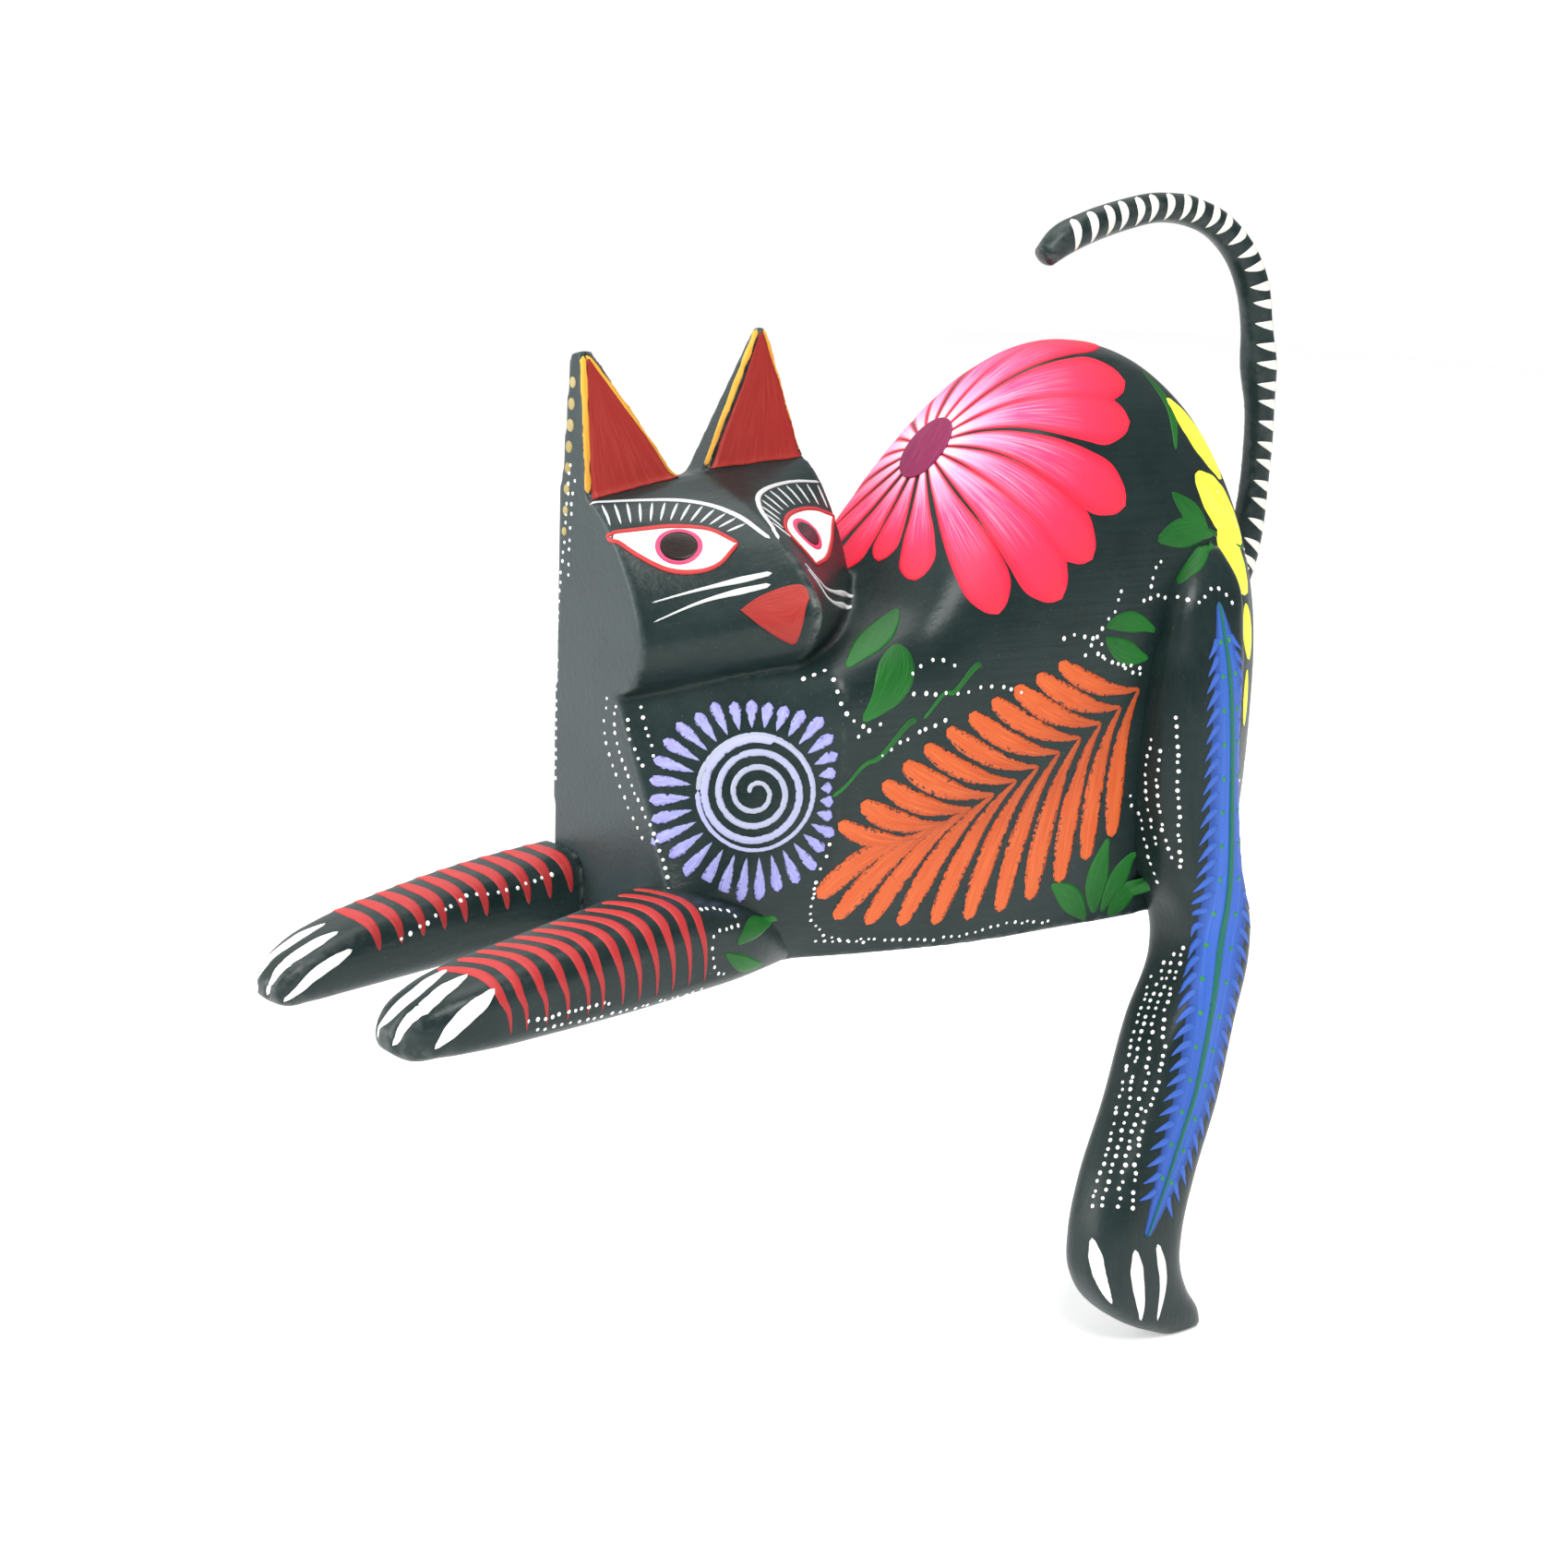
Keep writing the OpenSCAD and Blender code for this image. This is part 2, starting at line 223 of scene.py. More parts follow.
def front_ring(x):
    co, si = np.cos(UP), np.sin(UP)
    y, z = 14 + 11.6 * sp(co, 0.4), 40 + 13.5 * sp(si, 0.4)
    idx = np.concatenate([(np.degrees(UP[UP > math.pi / 2 + 0.01]) - 90) / 15, 6 + LOW * 5])
    ly, lz = (np.interp(idx, np.arange(12), CHEST_LEFT[:, k]) for k in (0, 1))
    k = int((UP <= math.pi / 2 + 0.01).sum())
    right = [[25.6 - 3.6 * f ** 2.6, 40 * (1 - f)] for f in LOW[::-1]]
    p = np.concatenate([np.stack([y[:k], z[:k]], 1), np.stack([ly, lz], 1), right])
    return np.column_stack([np.full(len(p), x), p])


def chest_ring(x):
    f = min(1, max(0, (x + 64.9) / 28.9))
    r = front_ring(x) * (1 - f) + body_ring(-36) * f
    r[:, 0] = x
    return r


xs = np.concatenate([np.arange(-65, -36, 2.4), np.arange(-36, 84.5, 1.5), [84.5]])
body_rings = [chest_ring(x) if x < -36 else body_ring(x) for x in xs]


def head_ring(h):
    up = [math.radians(a) for a in range(0, 91, 10)]
    low = [math.radians(a) for a in range(100, 181, 10)]
    return ([[25.2, h[0]], [25.2, h[1]]]
            + [[15 + (h[3] - 15) * float(sp(math.sin(a), 1.4)), h[4] + (h[2] - h[4]) * float(sp(math.cos(a), 1.4))] for a in up]
            + [[h[5] + (h[3] - h[5]) * math.sin(a), h[4] + (h[4] - h[6]) * math.cos(a)] for a in low]
            + [[h[7], h[0]]])


HEAD = {-65.0: head_ring([35, 87, 85, -4, 60, 4, 50, 8]), -40.0: head_ring([36, 87, 89, -25, 68, 0, 53, 5]),
        -14.5: head_ring([38, 91, 91, -2, 63, 4, 52, 8])}


def dense(poly, n):
    """Closed outline with n points on each side."""
    p = np.asarray(poly, float)
    q = np.roll(p, -1, 0)
    return np.concatenate([p[i] + (q[i] - p[i]) * np.linspace(0, 1, n, endpoint=False)[:, None] for i in range(len(p))])


head_rings = []
hx = sorted(HEAD)
for a, b in zip(hx[:-1], hx[1:]):
    for f in np.linspace(0, 1, 13)[(0 if a == hx[0] else 1):]:
        p = dense(np.array(HEAD[a]) * (1 - f) + np.array(HEAD[b]) * f, 4)
        head_rings.append(np.column_stack([np.full(len(p), a + (b - a) * f), p]))


def ear(f, b, t, zf, zt, back):
    v = [[f[0], 15, zf[0]], [f[1], 15.3, zf[1]], [b[1], 25, zf[1] - 3.5], [b[0], 25, zf[0] - 3.5],
         [t[0], 17.8, zt], [t[1], 17.8, zt], [t[1], back, zt - 0.6], [t[0], back, zt - 0.6]]
    q = [[0, 1, 2], [0, 2, 3], [7, 6, 5, 4], [5, 1, 0], [4, 5, 0], [6, 2, 1], [5, 6, 1],
         [7, 3, 2], [6, 7, 2], [4, 0, 3], [7, 4, 3]]
    return v, q


body = join("carved_body", [
    loft(body_rings), loft(head_rings),
    ear([-65, -43], [-65, -43.5], [-65, -62.5], [83, 86], 112, 22),
    ear([-39.5, -14.8], [-38.5, -14.8], [-25.6, -23.2], [87.5, 90], 116.3, 19)])
remesh(body, 0.65, smooth=9)


# ------------------------------------------------------------------- limbs
def oval(a, b, s, n):
    t = 2 * math.pi * (np.arange(n) + 0.5) / n
    return np.stack([a * sp(np.cos(t), 2 / s), b * sp(np.sin(t), 2 / s)], 1)


LEFT_FORE = [
    [-129.5, -26.2, 3, 1.6, 5], [-127.5, -26.6, 5.4, 0.2, 7.4], [-122, -27, 7.8, 0, 10.8],
    [-114, -26.8, 9.1, 0, 13.2], [-100, -25, 9.8, 0, 15.2], [-84, -22.2, 10.4, 0, 17],
    [-68, -18.6, 10.9, 0, 18.2], [-56, -16, 10, 0, 15], [-46, -13.8, 7.6, 0, 11], [-38, -12.4, 4.4, 0, 6.5]]
RIGHT_FORE = [
    [-134.5, 8.6, 3, 1.6, 4.6], [-132, 8.9, 5.2, 0.2, 7.2], [-127, 10.2, 7, 0, 9.8], [-119, 12.2, 7.8, 0, 12],
    [-104, 16, 8.7, 0, 14], [-84, 20.6, 9.2, 0, 15.8], [-62, 22.4, 8.6, 0, 17.8]]
LEFT_HIND = [
    [75, 52, 59, -20, -28], [69, 46, 61.5, -20, -32.5], [57, 41, 62, -20, -36], [40, 38.5, 60.5, -20, -38.5],
    [24, 38.5, 60.5, -20, -40], [10, 41, 61.5, -20, -41.5], [-1, 46, 63.5, -23, -42.5], [-8, 44.6, 62.5, -25, -43.5],
    [-20, 36.5, 58.5, -27.5, -45], [-36, 28, 52.5, -31, -47.5], [-50, 19.8, 45, -34, -50], [-60, 16.6, 41, -35.5, -51.5],
    [-68, 17, 40.5, -36, -52], [-75, 21.5, 43.5, -37, -51.5], [-80, 28.5, 47, -39, -50.8], [-83.5, 36.5, 48, -41, -49.6]]
RIGHT_THIGH = [
    [66, 44, 58, 20, 28], [58, 37, 64, 20, 32.5], [44, 31, 67, 20, 36], [28, 28.5, 68, 20, 37.5],
    [14, 29, 66, 20, 37.5], [5, 32, 63, 20, 36.5], [0.3, 35, 61, 20, 35.5]]
RIGHT_FOOT = [
    [2, 30.5, 3.4, 1.2, 5], [4.5, 30.5, 5.6, 0.2, 7.6], [11, 30.5, 7.2, 0, 10.4],
    [22, 30.5, 7.8, 0, 12], [38, 30.5, 8, 0, 13], [50, 30.5, 7.6, 0, 12]]


def foreleg_rings(t, stop=None):
    out = []
    x0, x1 = t[0][0], t[-1][0] if stop is None else stop
    for x in np.concatenate([[x0], np.arange(x0 + 0.8, x0 + 8, 0.8), np.arange(x0 + 8, x1, 1.6), [x1]]):
        yc, hw, zb, zt = table(t, x)
        o = oval(hw, (zt - zb) / 2, 3.4, 56)
        out.append(np.column_stack([np.full(len(o), x), yc + o[:, 0], (zb + zt) / 2 + o[:, 1]]))
    return out


def hind_rings(t, drop=1.0):
    t = sorted(t)
    zs = [r[0] for r in t]
    out = []
    for z in np.concatenate([np.arange(zs[0], zs[-1], 1.5), [zs[-1]]]):
        x0, x1, yi, yo = table(t, z)
        o = oval((x1 - x0) / 2, abs(yi - yo) / 2, 3, 56)
        out.append(np.column_stack([(x0 + x1) / 2 + o[:, 0], (yi + yo) / 2 - o[:, 1], np.full(len(o), z * drop if z < 0 else z)]))
    return out


left_fore = join("left_foreleg_wood", [loft(foreleg_rings(LEFT_FORE))])
remesh(left_fore, 0.55, smooth=5)
right_fore = join("right_foreleg_wood", [loft(foreleg_rings(RIGHT_FORE, -64.9))])
remesh(right_fore, 0.55, smooth=5)
left_hind = join("left_hind_leg_wood", [loft(hind_rings(LEFT_HIND, 82.5 / 83.5))])
remesh(left_hind, 0.6, smooth=4)
right_hind = join("right_hind_leg_wood", [loft(hind_rings(RIGHT_THIGH)), loft(foreleg_rings(RIGHT_FOOT))])
remesh(right_hind, 0.6, smooth=4)


def toes(ob, along, start, reach, across, at, depth, width, normal_dir):
    """Presses shallow valleys between the toes: 'at' lists their places on axis 'across'."""
    co, no = coords(ob), normals(ob)
    d = (co[:, along] - start) / reach
    fade = np.clip(1 - d, 0, 1) ** 0.8 * (co[:, along] - start > -20)
    for k in at:
        g = np.exp(-((co[:, across] - k) / width) ** 2)
        face = np.clip(no @ np.asarray(normal_dir, float), 0, 1)
        co -= no * (depth * fade * g * face)[:, None]
    set_coords(ob, co)


toes(left_fore, 0, -129.5, 13, 1, (-29.8, -23.6), 0.6, 0.8, (-0.75, -0.2, 0.6))
toes(right_fore, 0, -134.5, 12, 1, (6.4, 11.6), 0.55, 0.7, (-0.75, -0.2, 0.6))
toes(right_hind, 0, 2, 10, 1, (27.6, 33.2), 0.9, 0.8, (-0.75, 0, 0.6))

# -------------------------------------------------------------------- tail
TAIL_P = np.array([
    [82, 0, 53], [86.2, 0, 57.2], [90.4, 0, 61.6], [93.2, 0, 67], [95, 0, 74], [96, 0, 82], [96.4, 0, 90],
    [96, 0, 99], [94.6, 0, 108], [93.2, 0, 116.5], [91, 0, 124.4], [86.3, 0, 131.8], [79, 0, 137.2],
    [71, 0, 139.8], [63, 0, 140.5], [53, 0, 139.1], [42.6, 0, 136.3], [35, 0, 133.2], [31.6, 0, 130.6]], float)
TAIL_W = np.array([4.4, 4.4, 4.2, 3.8, 3.4, 3.1, 3.1, 3.2, 3.8, 3.4, 3.5, 3.4, 3.2, 3, 3, 3.1, 3.2, 3.1, 2.4])
PEG_DIR = np.array([math.sqrt(0.5), 0, math.sqrt(0.5)])


def tail_curve(n=190):
    """Centre points, tangents and radii along the tail."""
    seg = np.linalg.norm(np.diff(TAIL_P, axis=0), axis=1)
    s = np.concatenate([[0], np.cumsum(seg)])
    t = np.column_stack([s, TAIL_P, TAIL_W])
    ss = np.linspace(0, s[-1], n)
    v = np.array([table(t, a) for a in ss])
    p, w = v[:, :3], v[:, 3]
    d = np.gradient(p, axis=0)
    d /= np.linalg.norm(d, axis=1)[:, None]
    d[0] = PEG_DIR
    return ss, p, d, w


ts, tp, td, tw = tail_curve()
tail_rings = []
knots = [(78, 0.55, 3.0), (60, 0.3, 4), (104, 0.35, 3), (130, 0.3, 4)]
for s, p, d, w in zip(ts, tp, td, tw):
    a = 2 * math.pi * np.arange(36) / 36
    side = np.array([0, 1.0, 0])
    up = np.cross(d, side)
    r = w * (1 + 0.018 * np.sin(3 * a + s * 0.11) + 0.012 * np.sin(5 * a - s * 0.23))
    for at, amp, wid in knots:
        r = r + amp * math.exp(-((s - at) / wid) ** 2) * np.clip(np.cos(a - at), 0, 1) ** 2 * 0.8
    r = np.minimum(r, w + 0.45)
    # Round and a little slim at the root, where it turns in the rump
    ease = min(1, s / 14)
    r = w - 0.35 * (1 - ease) + (r - w) * ease
    tail_rings.append(p + (np.cos(a) * r)[:, None] * up + (np.sin(a) * r)[:, None] * side)
# The tip is a slightly domed cut
for k, f in ((0.45, 0.86), (0.75, 0.6), (0.9, 0.3)):
    tail_rings.append((tail_rings[189] - tp[-1]) * f + tp[-1] + td[-1] * k)
v, f = loft(tail_rings)
f = [q for q in f if len(q) == 4 or q[0] != 35]
# The root is a ring round the bore of the peg
n = 36
a = 2 * math.pi * np.arange(n) / n
side = np.array([0, 1.0, 0])
up = np.cross(PEG_DIR, side)
extra = []
for r, h in ((2.56, 0.0), (2.56, 11.0)):
    extra.append(TAIL_P[0] + PEG_DIR * h + r * (np.cos(a)[:, None] * up + np.sin(a)[:, None] * side))
k = len(v)
v = np.concatenate([v] + extra)
i = np.arange(n)
f = [q for q in f if not (len(q) == n and 0 in q)]
f += np.stack([(i + 1) % n, i, k + i, k + (i + 1) % n], 1).tolist()
f += np.stack([k + (i + 1) % n, k + i, k + n + i, k + n + (i + 1) % n], 1).tolist()
f.append([k + n + j for j in range(n)])
tail = new_object("tail_branch", v, f)
fix_normals(tail)

# The rump has a round seat for the tail's root and the bore of the peg
def cutter(r, back, out, n=48):
    a = 2 * math.pi * np.arange(n) / n
    rings = [TAIL_P[0] + PEG_DIR * h + r * (np.cos(a)[:, None] * up + np.sin(a)[:, None] * side) for h in (-back, out)]
    ob = new_object("cutter", *loft(rings))
    fix_normals(ob)
    return ob


for r, back, out in ((5.0, 0.0, 14.0), (2.56, 15.0, 2.0)):
    c = cutter(r, back, out)
    m = body.modifiers.new("cut", "BOOLEAN")
    m.operation, m.object, m.solver = "DIFFERENCE", c, "EXACT"
    applied(body)
    bpy.data.objects.remove(c)

WOOD = {"body_and_head": body, "left_foreleg": left_fore, "right_foreleg": right_fore,
        "left_hind_leg": left_hind, "right_hind_leg": right_hind, "tail": tail}
for node, ob in WOOD.items():
    ob.data.polygons.foreach_set("use_smooth", np.ones(len(ob.data.polygons), bool))


# --------------------------------------------------------------- materials
class Nodes:
    def __init__(self, name):
        self.mat = bpy.data.materials.new(name)
        self.mat.use_nodes = True
        self.t = self.mat.node_tree
        self.t.nodes.clear()
        self.out = self.t.nodes.new("ShaderNodeOutputMaterial")
        self.bsdf = self.t.nodes.new("ShaderNodeBsdfPrincipled")
        self.t.links.new(self.bsdf.outputs[0], self.out.inputs[0])

    def new(self, kind, **kw):
        n = self.t.nodes.new(kind)
        for k, v in kw.items():
            setattr(n, k, v)
        return n

    def put(self, sock, v):
        if isinstance(v, bpy.types.NodeSocket):
            self.t.links.new(v, sock)
        else:
            sock.default_value = v

    def coord(self, scale=(1, 1, 1), rot=(0, 0, 0)):
        c = self.new("ShaderNodeTexCoord")
        m = self.new("ShaderNodeMapping")
        self.t.links.new(c.outputs["Object"], m.inputs[0])
        m.inputs["Scale"].default_value = scale
        m.inputs["Rotation"].default_value = rot
        return m.outputs[0]

    def noise(self, vec, scale, detail=3, rough=0.5, dist=0.0):
        n = self.new("ShaderNodeTexNoise")
        self.put(n.inputs["Vector"], vec)
        n.inputs["Scale"].default_value = scale
        n.inputs["Detail"].default_value = detail
        n.inputs["Roughness"].default_value = rough
        n.inputs["Distortion"].default_value = dist
        return n.outputs["Fac"]

    def ramp(self, fac, *stops):
        r = self.new("ShaderNodeValToRGB")
        self.put(r.inputs[0], fac)
        e = r.color_ramp.elements
        while len(e) > len(stops):
            e.remove(e[-1])
        while len(e) < len(stops):
            e.new(1.0)
        for el, (p, c) in zip(e, stops):
            el.position = p
            el.color = (c, c, c, 1) if isinstance(c, (int, float)) else (*c, 1)
        return r.outputs[0]

    def math(self, op, a, b=0.0, c=0.0, clamp=False):
        m = self.new("ShaderNodeMath", operation=op, use_clamp=clamp)
        self.put(m.inputs[0], a)
        self.put(m.inputs[1], b)
        if len(m.inputs) > 2:
            self.put(m.inputs[2], c)
        return m.outputs[0]

    def mix(self, fac, a, b, mode="MIX"):
        m = self.new("ShaderNodeMix", data_type="RGBA", blend_type=mode)
        self.put(m.inputs[0], fac)
        self.put(m.inputs[6], a if isinstance(a, bpy.types.NodeSocket) else (*a, 1))
        self.put(m.inputs[7], b if isinstance(b, bpy.types.NodeSocket) else (*b, 1))
        return m.outputs[2]

    def attr(self, name):
        n = self.new("ShaderNodeAttribute", attribute_name=name)
        return n.outputs["Fac"]

    def bump(self, height, strength, distance=0.0003):
        b = self.new("ShaderNodeBump")
        self.put(b.inputs["Height"], height)
        b.inputs["Strength"].default_value = strength
        b.inputs["Distance"].default_value = distance
        self.t.links.new(b.outputs[0], self.bsdf.inputs["Normal"])

    def done(self, color, rough, coat=0.0):
        self.put(self.bsdf.inputs["Base Color"], color)
        self.put(self.bsdf.inputs["Roughness"], rough)
        self.bsdf.inputs["Specular IOR Level"].default_value = 0.24
        if coat:
            self.bsdf.inputs["Coat Weight"].default_value = coat
            self.bsdf.inputs["Coat Roughness"].default_value = 0.25
        return self.mat


def base_nodes(n, dark=(0.0065, 0.0170, 0.0160), light=(0.0130, 0.0270, 0.0260), axis=(1, 1, 1)):
    """Colour of the black-green ground coat with its brush marks and wear."""
    obj = n.coord()
    cloud = n.ramp(n.noise(obj, 75, 4, 0.55), (0.32, 0.0), (0.70, 1.0))
    streak = n.ramp(n.noise(n.coord((40 * axis[0], 900 * axis[1], 900 * axis[2])), 1.0, 2, 0.5), (0.35, 0.0), (0.75, 1.0))
    col = n.mix(cloud, dark, light)
    col = n.mix(n.math("MULTIPLY", streak, 0.35), col, (0.022, 0.032, 0.031))
    dust = n.ramp(n.noise(obj, 1500, 2, 0.6), (0.66, 0.0), (0.76, 1.0))
    col = n.mix(n.math("MULTIPLY", dust, 0.18), col, (0.16, 0.17, 0.165))
    return obj, cloud, streak, dust, col


def ground_material(name, axis=(1, 1, 1), wear=(0.20, 0.21, 0.20)):
    n = Nodes(name)
    obj, cloud, streak, dust, col = base_nodes(n, axis=axis)
    edge = n.attr("edge")
    rub = n.math("MULTIPLY", edge, n.ramp(n.noise(obj, 420, 4, 0.6), (0.42, 0.0), (0.62, 1.0)))
    col = n.mix(n.math("MULTIPLY", rub, 0.75), col, wear)
    # Painted reflection: on the flat front plane the ground coat is mixed to a lighter grey-green, standing in for lamp
    # light mirrored off the satin paint
    col = n.mix(n.math("MULTIPLY", n.attr("front"), n.math("MULTIPLY_ADD", cloud, 0.25, 0.62)), col, (0.036, 0.050, 0.053))
    rough = n.math("ADD", n.math("MULTIPLY", cloud, 0.10), n.math("MULTIPLY_ADD", rub, 0.15, 0.30))
    n.bump(n.math("ADD", n.math("MULTIPLY", streak, 0.6), n.noise(obj, 900, 3, 0.6)), 0.28, 0.00015)
    return n.done(col, rough)


# Curvature of the carved edges, for rubbed paint
def mark_edges(ob, lo=0.05, hi=0.30):
    me = ob.data
    bm = bmesh.new()
    bm.from_mesh(me)
    bm.normal_update()
    val = np.zeros(len(bm.verts))
    for v in bm.verts:
        s = 0.0
        for e in v.link_edges:
            o = e.other_vert(v)
            d = o.co - v.co
            L = d.length
            if L > 1e-9:
                s += -d.dot(v.normal) / (L * L) * 0.001
        val[v.index] = s / max(1, len(v.link_edges))
    ev = np.array([[e.verts[0].index, e.verts[1].index] for e in bm.edges])
    bm.free()
    for _ in range(3):
        acc, cnt = val.copy(), np.ones(len(val))
        np.add.at(acc, ev[:, 0], val[ev[:, 1]])
        np.add.at(acc, ev[:, 1], val[ev[:, 0]])
        np.add.at(cnt, ev[:, 0], 1)
        np.add.at(cnt, ev[:, 1], 1)
        val = acc / cnt
    w = np.clip((val - lo) / (hi - lo), 0, 1)
    at = me.attributes.get("edge") or me.attributes.new("edge", "FLOAT", "POINT")
    at.data.foreach_set("value", w.astype(np.float32))


for ob in WOOD.values():
    mark_edges(ob)
    # The 'front' attribute carries a painted reflection: it is 1 on the flat front plane of the body, where the ground
    # coat is painted lighter
    at = ob.data.attributes.new("front", "FLOAT", "POINT")
    x = coords(ob)[:, 0]
    painted_front_highlight = np.clip((-64.1 - x) / 0.7, 0, 1) if ob is body else np.zeros(len(x))
    at.data.foreach_set("value", painted_front_highlight.astype(np.float32))
ground = ground_material("ground_coat_body")
ground_leg = ground_material("ground_coat_leg", axis=(1, 1, 1))
ground_hind = ground_material("ground_coat_hind", axis=(22, 1, 0.045))
for node, ob in WOOD.items():
    ob.data.materials.clear()
    ob.data.materials.append({"left_hind_leg": ground_hind, "body_and_head": ground, "right_hind_leg": ground_hind}.get(node, ground_leg))

# Bare turned sticks: the peg and the dowels
def stick_material():
    n = Nodes("bare_stick")
    obj = n.coord()
    grain = n.noise(n.coord((600, 600, 600)), 1.0, 3, 0.6, 1.2)
    col = n.mix(n.ramp(grain, (0.3, 0.0), (0.7, 1.0)), (0.52, 0.36, 0.20), (0.72, 0.55, 0.34))
    pores = n.ramp(n.noise(obj, 2600, 2, 0.5), (0.62, 0.0), (0.7, 1.0))
    col = n.mix(n.math("MULTIPLY", pores, 0.5), col, (0.33, 0.21, 0.11))
    n.bump(pores, 0.3, 0.0001)
    return n.done(col, n.math("MULTIPLY_ADD", grain, 0.2, 0.5))


stick = stick_material()
for node in ("tail_peg", "left_foreleg_dowel", "right_foreleg_dowel", "left_hind_dowel", "right_hind_dowel"):
    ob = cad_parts[node]
    if not ob.data.materials:
        ob.data.materials.append(stick)
    for s in ob.material_slots:
        s.material = stick

# ------------------------------------------------------ painted decoration
# Every motif is drawn by rule, from a few places and sizes, and is laid on
# the carved surface as thin raised paint.
class Skin:
    def __init__(self, obs):
        vs, fs, k = [], [], 0
        for ob in obs:
            co = coords(ob)
            vs += co.tolist()
            fs += [[i + k for i in q.vertices] for q in ob.data.polygons]
            k += len(co)
        self.tree = BVHTree.FromPolygons(vs, fs)

    def near(self, p):
        loc, nor, _, _ = self.tree.find_nearest(Vector(p))
        return np.array(loc), np.array(nor)


FIGURE = Skin([body, left_fore, right_fore, left_hind, right_hind])
BRANCH = Skin([tail])


def unit(v):
    return v / (np.linalg.norm(v) + 1e-12)


def spline(pts, step):
    p = np.asarray(pts, float)
    e = np.vstack([2 * p[0] - p[1], p, 2 * p[-1] - p[-2]])
    out = []
    for i in range(len(p) - 1):
        a, b, c, d = e[i:i + 4]
        n = max(2, int(math.ceil(np.linalg.norm(c[:3] - b[:3]) / step)))
        t = np.linspace(0, 1, n, endpoint=False)[:, None]
        out.append(0.5 * (2 * b + (c - a) * t + (2 * a - 5 * b + 4 * c - d) * t**2 + (3 * b - a - 3 * c + d) * t**3))
    return np.vstack(out + [p[-1:]])


def along(guide, t):
    """Points at the fractions t of a guide curve's length."""
    q = spline(guide, 0.8)
    s = np.concatenate([[0], np.cumsum(np.linalg.norm(np.diff(q, axis=0), axis=1))])
    t = np.atleast_1d(t) * s[-1]
    return np.stack([np.interp(t, s, q[:, k]) for k in range(3)], 1)


def march(start, direction, length, turn=0.0, step=1.0, skin=FIGURE):
    """Walks over the surface from start, and turns by 'turn' degrees a step."""
    p, n = skin.near(start)
    d = unit(direction - n * np.dot(direction, n))
    path = [p]
    for _ in range(max(2, int(length / step))):
        q, n = skin.near(p + d * step)
        d = unit((q - p) - n * np.dot(q - p, n))
        a = math.radians(turn)
        d = unit(d * math.cos(a) + np.cross(n, d) * math.sin(a))
        p = q
        path.append(p)
    return np.array(path)


